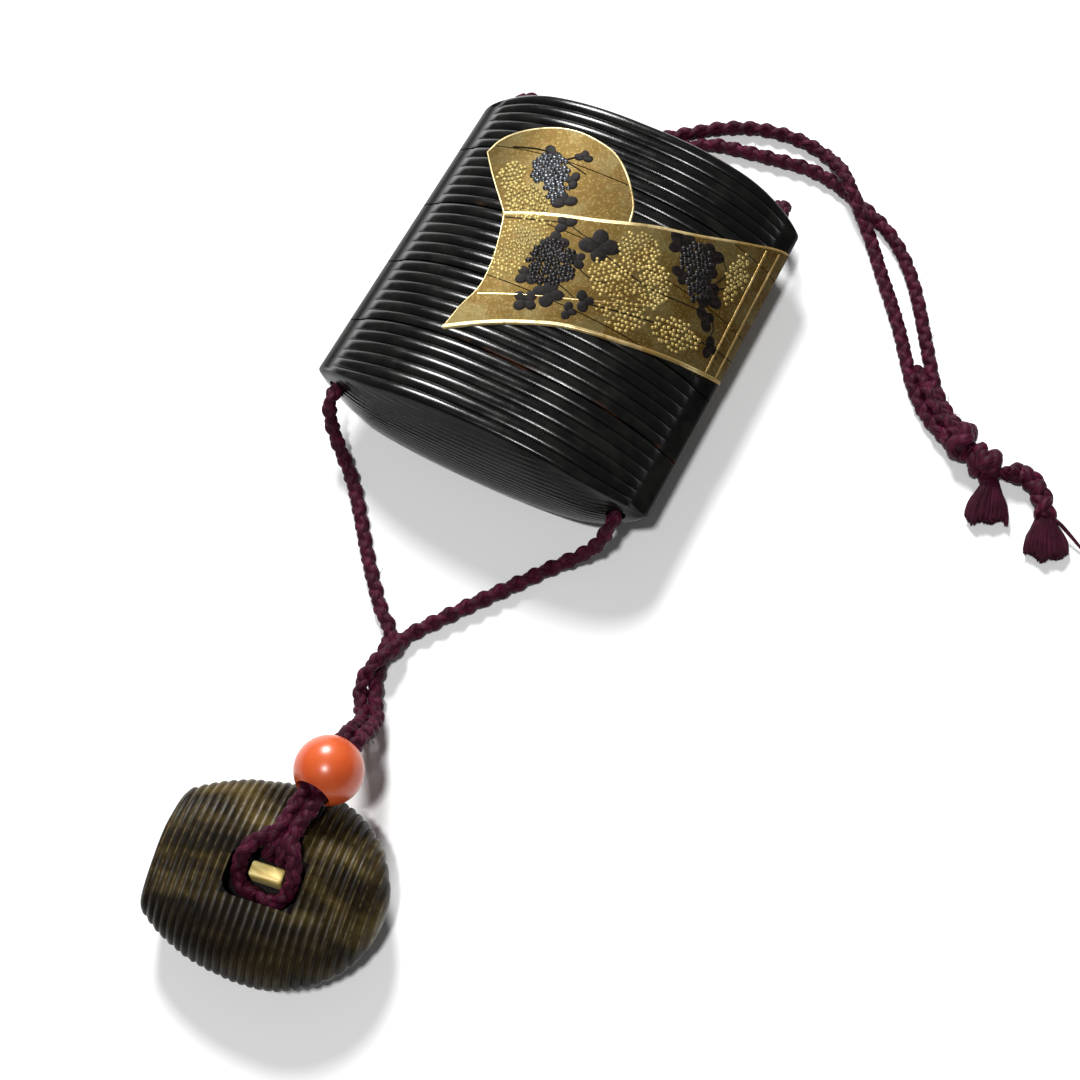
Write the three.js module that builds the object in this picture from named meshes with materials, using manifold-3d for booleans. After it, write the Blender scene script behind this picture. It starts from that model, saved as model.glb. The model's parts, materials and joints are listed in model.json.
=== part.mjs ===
// A ribbed lacquer inro: four stacking cases and a lid on a braided silk cord, with a
// coral slide bead, a ribbed toggle and a knotted tail. It lies on its back.
// Millimetres, +Z up. X runs across the inro's width, Y along its height, and the lid
// points to -Y. The origin is under the middle of inro and toggle together.
import * as THREE from 'three';
import { mergeVertices } from 'three/addons/utils/BufferGeometryUtils.js';
import Module from 'manifold-3d';

const wasm = await Module();
wasm.setup();

// Inro body
const WIDTH = 61.4;
const THICKNESS = 21;
const RIB_PITCH = 2.2;
const RIBS_PER_PIECE = 6;
const RIB_DEPTH = 0.5;
const SMOOTH_SIDE_X = 28.3;
const CASE_COUNT = 4;
const PIECE_HEIGHT = RIB_PITCH * RIBS_PER_PIECE;
const BODY_HEIGHT = PIECE_HEIGHT * (CASE_COUNT + 1);
const BODY_SEGMENTS = 28;
const EDGE_ROUNDING = 1;
const END_HALF_WIDTH = 29.2;
const END_HALF_THICKNESS = 9.8;
const LID_DOME = 1.6;
const DOME_RING = { spread: 0.55, rise: 0.76 };
const LID_WALL = 1.6;
const TIP_START = 18;
const TIP_DROP = 2.2;
const TIP_REACH = 6.6;
const FOOT_FLAT_SHARE = 0.6;
const BACK_FLAT = 0.15;
const FOOT_Y = 79;
const CENTRE_Z = THICKNESS / 2 - BACK_FLAT;

// Hollows: each case's riser slides into a recess in the piece above it
const GAP = 0.3;
const CAVITY = { halfWidth: 22.6, halfThickness: 7.7 };
const RISER = { halfWidth: 23.5, halfThickness: 8.6 };
const RECESS = { halfWidth: RISER.halfWidth + GAP, halfThickness: RISER.halfThickness + GAP };
const RISER_HEIGHT = 3.05;
const RECESS_DEPTH = 3.5;
const FLOOR = 1.6;

// Exponents of the lens sections: across the width, and through the thickness
const OUTER_LENS = { across: 0.833, through: 1.6 };
const INNER_LENS = { across: 0.77, through: 1.33 };

// Cord and its channels through the sides of the inro. Steps count the sections of a tube.
const CORD_RADIUS = 1.25;
const CORD_SIDES = 8;
const NECK_STEPS = 25;
const TAIL_LEFT_STEPS = 17;
const TAIL_RIGHT_STEPS = 20;
const LOOSE_END_STEPS = 3;
const CHANNEL_X = 26;
const CHANNEL_RADIUS = 1.6;
const CHANNEL_SIDES = 12;
const CHANNEL_CORD_INSET = 1.3;
const PAIR_OFFSET = 1.4;

// The bead, the toggle and the free cords lie a little to one side of the inro.
const ASIDE_X = 0.75;

// Slide bead
const BEAD_RADIUS = 5.35;
const BEAD_BORE = 2.9;
const BEAD_STEPS = 8;
const BEAD_SEGMENTS = 16;
const BEAD_CENTRE = new THREE.Vector3(6.8, -46.6, 15.9);
const BEAD_AXIS = new THREE.Vector3(-0.04, -1, 0.17);

// Toggle
const TOGGLE_RADIUS = 15.8;
const TOGGLE_HALF_HEIGHT = 8;
const TOGGLE_ROUND_END = 16.4;
const TOGGLE_CUT_END = 19.2;
const TOGGLE_TAPER = 24.5;
const TOGGLE_RIBS = 26;
const TOGGLE_RIB_DEPTH = 0.3;
const TOGGLE_SEGMENTS = 20;
const TOGGLE_FLAT = 0.5;
const TOGGLE_TURN = THREE.MathUtils.degToRad(9);
const TOGGLE_CENTRE = new THREE.Vector3(7.5, -63.6, TOGGLE_HALF_HEIGHT - TOGGLE_FLAT);
const POCKET = { width: 11.6, depth: 7.8, corner: 2.4, floorZ: 10.7, x: 5.9, y: -64.8, curveSteps: 3 };
const BAR = { width: 5.2, depth: 2.4, topZ: 14.9, x: 6.1, y: -64.1 };

// Knot, loose end and frayed tips
const KNOT_START = new THREE.Vector3(69, 56.4, 2.85);
const KNOT_AXIS = new THREE.Vector3(0.92, -0.39, 0).normalize();
const KNOT_PROFILE = [[0, 2.65], [2.2, 2.8], [5, 1.9], [7.2, 2.3], [9, 1.6]];
const KNOT_END = 9.4;
const TIP_PROFILE = [[0, 1.2, 1], [2.5, 1.9, 1.15], [5.2, 3.1, 1.1], [7.4, 3.7, 0.9]];
const TIP_SQUASH_Z = 1.25;

// Cord routes, chosen by hand. A pair point also has the angle, in degrees, by which the
// two strands have turned about each other.
const NECK_LEFT = [
  [-26.75, 13.9, 10.35], [-26.7, 11.3, 10.2], [-25.7, 9.2, 7.6], [-23.5, 7.2, 4], [-20.9, 5.2, 1.9],
  [-18, 2.4, 1.3], [-14.3, -2, 1.3], [-10.2, -7.1, 1.3], [-6, -12, 1.3], [-2.8, -15.4, 1.3],
];
const NECK_RIGHT = [
  [25.25, 13.9, 10.35], [25.25, 11.3, 10.2], [24.4, 9.2, 7], [21.9, 7.3, 3.4], [18.8, 4.6, 1.6],
  [15, -0.4, 1.3], [11, -5.8, 1.3], [7.8, -10.2, 1.3], [5, -14.2, 1.3],
];
const PAIR = [
  [1.5, -18, 1.4, 0], [1.7, -21.2, 2.45, 50], [1.4, -24.6, 2.75, 100], [1.8, -28, 2.2, 150],
  [3.4, -30.9, 2.5, 180], [5, -33, 3.9, 180], [5.9, -34.9, 6.3, 180], [6.4, -36.6, 9.4, 180],
  [6.8, -38.6, 12.6, 180], [6.95, -41, 14.8, 180], [6.8, -46.6, 15.9, 180],
  [6.6, -51.6, 16.7, 180], [6.3, -55, 16.7, 180], [6.2, -58.2, 17, 180],
];
// One side of the loop round the bar, mirrored for the other strand
const LOOP_SIDE = [
  [2.9, -60.6, 17.2], [4.1, -62.8, 16.2], [4.2, -65.2, 13.8], [3.1, -67, 12.5],
  [1.5, -67.4, 12.3], [0.15, -67.4, 12.3],
];
const TAIL_LEFT = [
  [-26.75, 78.1, 10.35], [-26.7, 80.7, 10.2], [-25.2, 83.8, 7.6], [-21.5, 86, 4.2], [-16.5, 87, 1.8],
  [-10.5, 87.6, 1.3], [-4.5, 90, 1.3], [0.8, 94, 1.3], [6, 98, 1.3], [12.3, 101, 1.3],
  [20, 102, 1.3], [24.6, 101.2, 1.4], [27.5, 99.6, 2.4], [30.2, 97.2, 4], [33.2, 94, 4.3],
  [36.2, 91.2, 3.2], [39.6, 88.1, 1.6], [44.3, 82.2, 1.3], [48.3, 77.2, 1.3],
  [52.1, 72.2, 1.3], [55.5, 67.1, 1.3], [58.4, 63, 1.3], [61.8, 59.4, 1.4],
  [65.4, 56.7, 2], [68.15, 55.2, 2.8],
];
const TAIL_RIGHT = [
  [25.25, 78.1, 10.35], [25.2, 80.7, 10.2], [23.8, 83.2, 6.4], [19.9, 84.8, 2.65], [14.4, 84.7, 1.4],
  [8, 84.2, 1.3], [1.8, 84, 1.3], [-1.3, 86.2, 1.3], [-0.6, 89, 1.3], [2.4, 91.4, 1.3],
  [6.3, 93.9, 1.3], [11.2, 95, 1.3], [18.4, 96.2, 1.3], [24, 96.8, 1.3], [29.4, 96.1, 1.3],
  [33, 94.8, 1.3], [37.4, 93, 1.3], [41.6, 91, 1.3], [44.9, 88.6, 1.3], [48.9, 84.5, 1.3],
  [52.6, 79.4, 1.3], [55.9, 74.1, 1.3], [59.1, 68.9, 1.3], [62.3, 64, 1.3],
  [66.3, 59.9, 1.9], [69.25, 57.8, 2.8],
];
const LOOSE_END = [
  [79.3, 54.4, 1.6], [81.6, 55.3, 1.3], [84.2, 54.2, 1.3], [86.3, 51.9, 1.3], [87.6, 49.6, 1.3],
];
const SHORT_TIP = { at: [77.3, 51.1, 1.3], towards: [0.29, -0.96, 0] };
const LONG_TIP = { at: [87.75, 49.25, 1.3], towards: [0.4, -0.92, 0] };

const lacquer = { color: 0x0b0b0d, roughness: 0.22, metalness: 0 };
const silk = { color: 0x4a1130, roughness: 0.8, metalness: 0 };
const coral = { color: 0xd9552b, roughness: 0.25, metalness: 0 };
const darkHorn = { color: 0x4c3d1f, roughness: 0.35, metalness: 0 };
const paleBone = { color: 0xe6d08c, roughness: 0.4, metalness: 0 };

// Geometry helpers

// Joins shared vertices and drops the triangles that closed up on an axis.
function closed(geometry) {
  geometry.deleteAttribute('normal');
  geometry.deleteAttribute('uv');
  const merged = mergeVertices(geometry, 1e-4);
  const corners = merged.index.array;
  const kept = [];
  for (let i = 0; i < corners.length; i += 3) {
    const [a, b, c] = [corners[i], corners[i + 1], corners[i + 2]];
    if (a !== b && b !== c && c !== a) kept.push(a, b, c);
  }
  merged.setIndex(kept);
  return merged;
}

function toSolid(geometry) {
  const shape = closed(geometry);
  return new wasm.Manifold(new wasm.Mesh({
    numProp: 3,
    vertProperties: new Float32Array(shape.attributes.position.array),
    triVerts: new Uint32Array(shape.index.array),
  }));
}

function toGeometry(solid) {
  const { vertProperties, triVerts } = solid.getMesh();
  const geometry = new THREE.BufferGeometry();
  geometry.setAttribute('position', new THREE.BufferAttribute(vertProperties, 3));
  geometry.setIndex(new THREE.BufferAttribute(triVerts, 1));
  return geometry;
}

function mesh(name, geometry, finish) {
  const piece = new THREE.Mesh(geometry, new THREE.MeshStandardMaterial(finish));
  piece.name = name;
  return piece;
}

function signedPower(value, power) {
  return Math.sign(value) * Math.abs(value) ** power;
}

// Turns a profile on a lathe, then presses every ring into its station's own section.
// The turned vertices run along the profile, one slice after another.
function pressedTurning(stations, segments, sectionPoint) {
  const profile = stations.map((station) => new THREE.Vector2(station.halfWidth, station.height));
  const geometry = new THREE.LatheGeometry(profile, segments);
  const position = geometry.attributes.position;
  for (let i = 0; i < position.count; i++) {
    const station = stations[i % stations.length];
    const angle = Math.floor(i / stations.length) * 2 * Math.PI / segments;
    const [x, z, shift = 0] = sectionPoint(station, angle);
    position.setXYZ(i, x, station.height + shift, z);
  }
  return geometry;
}

// The inro

// How far a point of the outside lies above its station: both ends of the inro curve in
// towards the tips of the lens.
function endCurve(x, height) {
  const past = Math.max(0, Math.abs(x) - TIP_START) / (WIDTH / 2 - TIP_START);
  const nearFoot = Math.max(0, 1 - height / TIP_REACH);
  const nearLid = Math.max(0, 1 - (BODY_HEIGHT - height) / TIP_REACH);
  return TIP_DROP * past ** 2 * (nearFoot - Math.min(1, nearLid));
}

// A point of a lens section. Grooves are cut in the broad faces, not in the smooth
// sides, and the back is dressed flat where the inro lies.
function lensPoint(station, angle) {
  const lens = station.inner ? INNER_LENS : OUTER_LENS;
  const x = station.halfWidth * signedPower(Math.sin(angle), lens.across);
  let z = station.halfThickness * signedPower(Math.cos(angle), lens.through);
  if (station.groove && Math.abs(x) < SMOOTH_SIDE_X) z -= Math.sign(z) * RIB_DEPTH;
  const shift = station.inner ? 0 : endCurve(x, station.height);
  return [x, Math.max(z, BACK_FLAT - THICKNESS / 2), shift];
}

function outer(height, groove = false) {
  return { halfWidth: WIDTH / 2, halfThickness: THICKNESS / 2, height, groove };
}

function hollow(section, height) {
  return { ...section, height, inner: true };
}

function onAxis(height) {
  return { halfWidth: 0, halfThickness: 0, height, inner: true };
}

// Stations of one piece's ribs. Pieces meet in a groove, a gap apart.
function ribStations(bottom) {
  const stations = [];
  for (let rib = 0; rib < RIBS_PER_PIECE; rib++) {
    if (rib > 0) stations.push(outer(bottom + rib * RIB_PITCH, true));
    stations.push(outer(bottom + (rib + 0.5) * RIB_PITCH));
  }
  return stations;
}

function endRing(height, share) {
  return { halfWidth: END_HALF_WIDTH * share, halfThickness: END_HALF_THICKNESS * share, height };
}

function roundedEdge(height) {
  return {
    halfWidth: WIDTH / 2 - EDGE_ROUNDING / 2,
    halfThickness: THICKNESS / 2 - EDGE_ROUNDING / 4,
    height,
  };
}

function riserAndCavity(top, floor) {
  return [
    hollow(RISER, top - GAP / 2),
    hollow(RISER, top - GAP / 2 + RISER_HEIGHT),
    hollow(CAVITY, top - GAP / 2 + RISER_HEIGHT),
    hollow(CAVITY, floor),
    onAxis(floor),
  ];
}

function footCaseStations() {
  return [
    onAxis(0),
    endRing(0, FOOT_FLAT_SHARE),
    endRing(0, 1),
    roundedEdge(EDGE_ROUNDING),
    ...ribStations(0),
    outer(PIECE_HEIGHT - GAP / 2, true),
    ...riserAndCavity(PIECE_HEIGHT, FLOOR),
  ];
}

function upperCaseStations(bottom) {
  const top = bottom + PIECE_HEIGHT;
  return [
    onAxis(bottom + RECESS_DEPTH),
    hollow(RECESS, bottom + RECESS_DEPTH),
    hollow(RECESS, bottom + GAP / 2),
    outer(bottom + GAP / 2, true),
    ...ribStations(bottom),
    outer(top - GAP / 2, true),
    ...riserAndCavity(top, bottom + RECESS_DEPTH + FLOOR),
  ];
}

function lidStations(bottom) {
  const top = bottom + PIECE_HEIGHT;
  return [
    onAxis(top - LID_WALL),
    hollow(RECESS, top - LID_WALL),
    hollow(RECESS, bottom + GAP / 2),
    outer(bottom + GAP / 2, true),
    ...ribStations(bottom),
    roundedEdge(top - EDGE_ROUNDING),
    endRing(top, 1),
    endRing(top + DOME_RING.rise * LID_DOME, DOME_RING.spread),
    onAxis(top + LID_DOME),
  ];
}

// Cuts the two cord channels, which run through both sides of every piece.
function withChannels(stations) {
  let solid = toSolid(pressedTurning(stations, BODY_SEGMENTS, lensPoint));
  for (const side of [-1, 1]) {
    const drill = new THREE.CylinderGeometry(
      CHANNEL_RADIUS, CHANNEL_RADIUS, 2 * BODY_HEIGHT, CHANNEL_SIDES,
    );
    drill.translate(side * CHANNEL_X, BODY_HEIGHT / 2, 0);
    solid = solid.subtract(toSolid(drill));
  }
  return toGeometry(solid);
}

function makeInro() {
  const inro = new THREE.Group();
  inro.add(mesh('inro_lid', withChannels(lidStations(CASE_COUNT * PIECE_HEIGHT)), lacquer));
  for (let fromTop = 1; fromTop < CASE_COUNT; fromTop++) {
    const bottom = (CASE_COUNT - fromTop) * PIECE_HEIGHT;
    inro.add(mesh(`inro_case_${fromTop}`, withChannels(upperCaseStations(bottom)), lacquer));
  }
  inro.add(mesh(`inro_case_${CASE_COUNT}`, withChannels(footCaseStations()), lacquer));
  inro.rotation.z = Math.PI;
  inro.position.set(0, FOOT_Y, CENTRE_Z);
  return inro;
}

// Bead and toggle

function makeBead() {
  const boreEnd = Math.asin(BEAD_BORE / BEAD_RADIUS);
  const profile = [];
  for (let step = 0; step <= BEAD_STEPS; step++) {
    const angle = Math.PI - boreEnd - step * (Math.PI - 2 * boreEnd) / BEAD_STEPS;
    profile.push(new THREE.Vector2(BEAD_RADIUS * Math.sin(angle), BEAD_RADIUS * Math.cos(angle)));
  }
  profile.push(profile[0].clone());
  const turned = new THREE.LatheGeometry(profile, BEAD_SEGMENTS);
  const bead = mesh('ojime_bead', closed(turned), coral);
  bead.position.copy(BEAD_CENTRE);
  bead.quaternion.setFromUnitVectors(new THREE.Vector3(0, 1, 0), BEAD_AXIS.clone().normalize());
  return bead;
}

// Radius of the toggle's outline at a distance along its axis from the widest place.
function toggleOutline(along) {
  const reach = along > 0 ? TOGGLE_ROUND_END : TOGGLE_TAPER;
  return TOGGLE_RADIUS * Math.sqrt(Math.max(0, 1 - (along / reach) ** 2));
}

function toggleStations() {
  const pitch = (TOGGLE_ROUND_END + TOGGLE_CUT_END) / TOGGLE_RIBS;
  const stations = [{ halfWidth: 0, height: -TOGGLE_CUT_END }];
  for (let half = 0; half < 2 * TOGGLE_RIBS; half++) {
    const along = -TOGGLE_CUT_END + half * pitch / 2;
    const cut = half % 2 === 0 ? TOGGLE_RIB_DEPTH : 0;
    stations.push({ halfWidth: toggleOutline(along) - cut, height: along });
  }
  stations.push({ halfWidth: 0, height: TOGGLE_ROUND_END });
  return stations;
}

function togglePoint(station, angle) {
  const flattening = TOGGLE_HALF_HEIGHT / TOGGLE_RADIUS;
  const x = station.halfWidth * Math.sin(angle);
  const z = station.halfWidth * flattening * Math.cos(angle);
  return [x, Math.max(z, TOGGLE_FLAT - TOGGLE_HALF_HEIGHT)];
}

function roundedRectangle(width, depth, corner) {
  const [right, top] = [width / 2, depth / 2];
  const outline = new THREE.Shape();
  outline.absarc(right - corner, top - corner, corner, 0, Math.PI / 2);
  outline.absarc(corner - right, top - corner, corner, Math.PI / 2, Math.PI);
  outline.absarc(corner - right, corner - top, corner, Math.PI, 1.5 * Math.PI);
  outline.absarc(right - corner, corner - top, corner, 1.5 * Math.PI, 2 * Math.PI);
  return outline;
}

// The toggle turns about X, so its body is made about Y and laid over.
function makeToggle() {
  const body = pressedTurning(toggleStations(), TOGGLE_SEGMENTS, togglePoint);
  const outline = roundedRectangle(POCKET.depth, POCKET.width, POCKET.corner);
  const pocket = new THREE.ExtrudeGeometry(outline, {
    depth: 2 * TOGGLE_HALF_HEIGHT, bevelEnabled: false, curveSegments: POCKET.curveSteps,
  });
  pocket.translate(
    TOGGLE_CENTRE.y - POCKET.y, POCKET.x - TOGGLE_CENTRE.x, POCKET.floorZ - TOGGLE_CENTRE.z,
  );
  const toggle = mesh('netsuke', toGeometry(toSolid(body).subtract(toSolid(pocket))), darkHorn);
  toggle.rotation.z = TOGGLE_TURN - Math.PI / 2;
  toggle.position.copy(TOGGLE_CENTRE);
  return toggle;
}

function makeBar() {
  const bottomZ = POCKET.floorZ + GAP;
  const bar = mesh(
    'netsuke_bar',
    new THREE.BoxGeometry(BAR.width, BAR.depth, BAR.topZ - bottomZ),
    paleBone,
  );
  bar.position.set(BAR.x, BAR.y, (BAR.topZ + bottomZ) / 2);
  bar.rotation.z = TOGGLE_TURN;
  return bar;
}

// Cords

function cordTube(name, points, steps) {
  const rim = [];
  for (let side = 0; side < CORD_SIDES; side++) {
    const angle = side * 2 * Math.PI / CORD_SIDES;
    rim.push(new THREE.Vector2(CORD_RADIUS * Math.cos(angle), CORD_RADIUS * Math.sin(angle)));
  }
  const route = new THREE.CatmullRomCurve3(points.map((point) => new THREE.Vector3(...point)));
  const geometry = new THREE.ExtrudeGeometry(new THREE.Shape(rim), {
    steps, extrudePath: route, bevelEnabled: false,
  });
  return mesh(name, closed(geometry), silk);
}

// Points of one strand of the twisted pair: side is -1 for the left hole's strand.
function pairStrand(side) {
  return PAIR.map(([x, y, z, turn], index) => {
    const before = PAIR[Math.max(index - 1, 0)];
    const after = PAIR[Math.min(index + 1, PAIR.length - 1)];
    const along = new THREE.Vector2(after[0] - before[0], after[1] - before[1]).normalize();
    const angle = THREE.MathUtils.degToRad(turn);
    const across = side * PAIR_OFFSET * Math.cos(angle);
    return [x - along.y * across, y + along.x * across, z + side * PAIR_OFFSET * Math.sin(angle)];
  });
}

// After the half turn each strand passes the bar on the side opposite to its hole.
function loopStrand(side) {
  return LOOP_SIDE.map(([x, y, z]) => [BAR.x - side * x, y, z]);
}

function channelCord(name, side) {
  const length = BODY_HEIGHT - 2 * CHANNEL_CORD_INSET;
  const geometry = new THREE.CylinderGeometry(CORD_RADIUS, CORD_RADIUS, length, CORD_SIDES);
  const cord = mesh(name, closed(geometry), silk);
  cord.position.set(side * CHANNEL_X, FOOT_Y - BODY_HEIGHT / 2, CENTRE_Z);
  return cord;
}

function spindle(name, stations, at, towards, squash) {
  const pressed = pressedTurning(stations, CORD_SIDES, (station, angle) => [
    station.halfWidth * Math.sin(angle), station.halfThickness * Math.cos(angle),
  ]);
  const piece = mesh(name, closed(pressed), silk);
  piece.position.copy(at);
  piece.rotation.z = Math.atan2(towards.y, towards.x) - Math.PI / 2;
  piece.scale.z = squash;
  return piece;
}

function makeKnot() {
  const rings = KNOT_PROFILE.map(([height, radius]) => (
    { height, halfWidth: radius, halfThickness: radius }
  ));
  const stations = [onAxis(0), ...rings, onAxis(KNOT_END)];
  return spindle('cord_knot', stations, KNOT_START, KNOT_AXIS, 1);
}

function frayedTip(name, tip) {
  const rings = TIP_PROFILE.map(([height, halfWidth, halfThickness]) => (
    { height, halfWidth, halfThickness: halfThickness / TIP_SQUASH_Z }
  ));
  const stations = [onAxis(0), ...rings, onAxis(TIP_PROFILE.at(-1)[0])];
  const at = new THREE.Vector3(...tip.at);
  return spindle(name, stations, at, new THREE.Vector3(...tip.towards), TIP_SQUASH_Z);
}

function makeCords() {
  const cords = new THREE.Group();
  const left = [...NECK_LEFT, ...pairStrand(-1), ...loopStrand(-1)];
  const right = [...NECK_RIGHT, ...pairStrand(1), ...loopStrand(1)];
  cords.add(cordTube('neck_cord_left', left, NECK_STEPS));
  cords.add(cordTube('neck_cord_right', right, NECK_STEPS));
  cords.add(cordTube('tail_cord_left', TAIL_LEFT, TAIL_LEFT_STEPS));
  cords.add(cordTube('tail_cord_right', TAIL_RIGHT, TAIL_RIGHT_STEPS));
  cords.add(makeKnot());
  cords.add(cordTube('cord_end', LOOSE_END, LOOSE_END_STEPS));
  cords.add(frayedTip('frayed_tip_short', SHORT_TIP));
  cords.add(frayedTip('frayed_tip_long', LONG_TIP));
  return cords;
}

const aside = new THREE.Group();
aside.add(makeBead(), makeToggle(), makeBar(), makeCords());
aside.position.x = ASIDE_X;

const part = new THREE.Group();
part.add(makeInro(), aside);
part.add(channelCord('channel_cord_left', -1), channelCord('channel_cord_right', 1));

export default part;
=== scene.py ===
"""A ribbed lacquer inro lying on its back, with a folded gold panel, a coral bead, a ribbed
toggle and braided silk cords. Every form is made in millimetres, in the frame's axes, and
turned to metres when it is placed. X runs across the inro, Y along it with the lid at -Y."""

import json
import math
import random
from collections import namedtuple

import bmesh
import bpy
import numpy as np
from mathutils import Matrix, Vector, noise
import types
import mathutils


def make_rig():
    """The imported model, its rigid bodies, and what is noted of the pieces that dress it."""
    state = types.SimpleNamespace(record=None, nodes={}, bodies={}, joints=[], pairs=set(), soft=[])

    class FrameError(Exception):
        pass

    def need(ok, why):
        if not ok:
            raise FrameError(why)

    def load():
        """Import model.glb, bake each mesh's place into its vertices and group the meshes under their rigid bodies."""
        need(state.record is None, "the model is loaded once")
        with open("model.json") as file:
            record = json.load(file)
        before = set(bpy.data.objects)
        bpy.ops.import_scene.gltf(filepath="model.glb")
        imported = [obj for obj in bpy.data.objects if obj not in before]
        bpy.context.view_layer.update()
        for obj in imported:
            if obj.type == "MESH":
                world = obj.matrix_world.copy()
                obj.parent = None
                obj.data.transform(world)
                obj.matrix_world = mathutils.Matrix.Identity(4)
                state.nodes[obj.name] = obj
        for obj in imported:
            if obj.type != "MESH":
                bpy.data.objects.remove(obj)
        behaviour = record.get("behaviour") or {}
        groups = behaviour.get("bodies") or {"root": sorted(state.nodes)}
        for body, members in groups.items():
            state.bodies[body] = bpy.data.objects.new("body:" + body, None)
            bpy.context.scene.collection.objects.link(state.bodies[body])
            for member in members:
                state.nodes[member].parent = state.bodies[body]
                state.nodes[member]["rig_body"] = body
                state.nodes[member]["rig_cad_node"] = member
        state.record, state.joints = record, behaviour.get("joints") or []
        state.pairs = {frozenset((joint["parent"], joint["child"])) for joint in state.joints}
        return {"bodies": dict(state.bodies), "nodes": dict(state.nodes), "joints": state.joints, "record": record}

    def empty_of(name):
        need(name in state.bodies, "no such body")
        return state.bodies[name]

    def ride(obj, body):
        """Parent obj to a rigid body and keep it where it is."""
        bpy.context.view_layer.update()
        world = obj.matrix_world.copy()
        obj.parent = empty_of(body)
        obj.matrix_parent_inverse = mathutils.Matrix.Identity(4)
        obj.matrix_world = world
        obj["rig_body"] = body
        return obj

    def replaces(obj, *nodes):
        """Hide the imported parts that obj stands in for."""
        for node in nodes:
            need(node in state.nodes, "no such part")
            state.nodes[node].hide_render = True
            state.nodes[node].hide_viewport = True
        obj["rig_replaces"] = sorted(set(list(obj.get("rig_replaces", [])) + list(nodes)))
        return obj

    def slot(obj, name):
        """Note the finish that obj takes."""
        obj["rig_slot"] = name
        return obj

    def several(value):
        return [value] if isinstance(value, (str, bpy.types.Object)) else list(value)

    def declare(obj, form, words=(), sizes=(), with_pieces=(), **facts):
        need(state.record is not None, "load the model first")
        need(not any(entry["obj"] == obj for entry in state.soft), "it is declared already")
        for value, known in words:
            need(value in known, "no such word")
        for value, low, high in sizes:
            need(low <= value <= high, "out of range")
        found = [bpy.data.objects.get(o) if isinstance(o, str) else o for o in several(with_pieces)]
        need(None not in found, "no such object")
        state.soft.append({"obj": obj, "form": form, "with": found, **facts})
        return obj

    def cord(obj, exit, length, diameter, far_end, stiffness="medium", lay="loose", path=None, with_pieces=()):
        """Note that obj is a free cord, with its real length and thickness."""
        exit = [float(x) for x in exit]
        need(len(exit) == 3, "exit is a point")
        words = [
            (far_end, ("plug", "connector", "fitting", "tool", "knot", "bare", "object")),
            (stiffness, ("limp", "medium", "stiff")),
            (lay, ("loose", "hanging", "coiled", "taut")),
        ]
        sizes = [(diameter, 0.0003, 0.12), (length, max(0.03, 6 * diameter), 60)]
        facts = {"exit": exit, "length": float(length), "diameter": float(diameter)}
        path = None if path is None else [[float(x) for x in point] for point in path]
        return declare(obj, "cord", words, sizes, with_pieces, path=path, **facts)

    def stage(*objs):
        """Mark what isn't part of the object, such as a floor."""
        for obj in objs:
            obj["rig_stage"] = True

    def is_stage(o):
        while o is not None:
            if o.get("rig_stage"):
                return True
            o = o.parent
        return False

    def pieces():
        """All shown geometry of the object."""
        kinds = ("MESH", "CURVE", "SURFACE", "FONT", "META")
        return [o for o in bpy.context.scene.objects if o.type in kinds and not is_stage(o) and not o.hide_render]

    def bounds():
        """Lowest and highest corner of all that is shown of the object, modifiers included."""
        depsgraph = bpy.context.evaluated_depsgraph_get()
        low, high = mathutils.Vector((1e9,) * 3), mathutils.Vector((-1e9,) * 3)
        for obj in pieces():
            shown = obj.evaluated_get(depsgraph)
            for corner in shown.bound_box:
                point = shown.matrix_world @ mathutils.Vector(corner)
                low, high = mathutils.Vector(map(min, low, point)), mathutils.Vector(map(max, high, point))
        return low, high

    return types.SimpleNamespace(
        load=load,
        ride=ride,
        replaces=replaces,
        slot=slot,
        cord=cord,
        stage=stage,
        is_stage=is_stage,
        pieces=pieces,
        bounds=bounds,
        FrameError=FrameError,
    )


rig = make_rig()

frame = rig.load()
cad_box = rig.bounds()

MM = 0.001
MERGE_DISTANCE = 1e-5

# Inro body
HALF_WIDTH = 30.7
HALF_THICKNESS = 10.5
CENTRE_Z = 10.35
LIE_Z = 0.0
RIB_PITCH = 2.2
RIBS_PER_PIECE = 6
RIB_DEPTH = 0.5
RIB_ROUNDNESS = 0.55
RINGS_PER_RIB = 9
RING_CROWDING = 0.12
PIECE_HEIGHT = RIB_PITCH * RIBS_PER_PIECE
CASES = 4
FOOT_Y = 79.0
LID_Y = FOOT_Y - PIECE_HEIGHT * (CASES + 1)
SEAMS = [FOOT_Y - PIECE_HEIGHT * number for number in range(1, CASES + 1)]
BODY_STEPS = 224
SIDE_STRIP_X = 28.3
RIB_RUN_OUT = 1.6
EDGE_ROUNDING = 1.0
EDGE_STEPS = 4
END_HALF_WIDTH = 29.2
END_HALF_THICKNESS = 9.8
LID_DOME = 1.6
DOME_POWER = 2.4
LID_WALL = 1.6
# Towards the tips of the lens, both ends of the body curve in
TIP_START = 18.0
TIP_DROP = 2.2
TIP_REACH = 6.6
FOOT_FLAT_SHARE = 0.6
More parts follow.
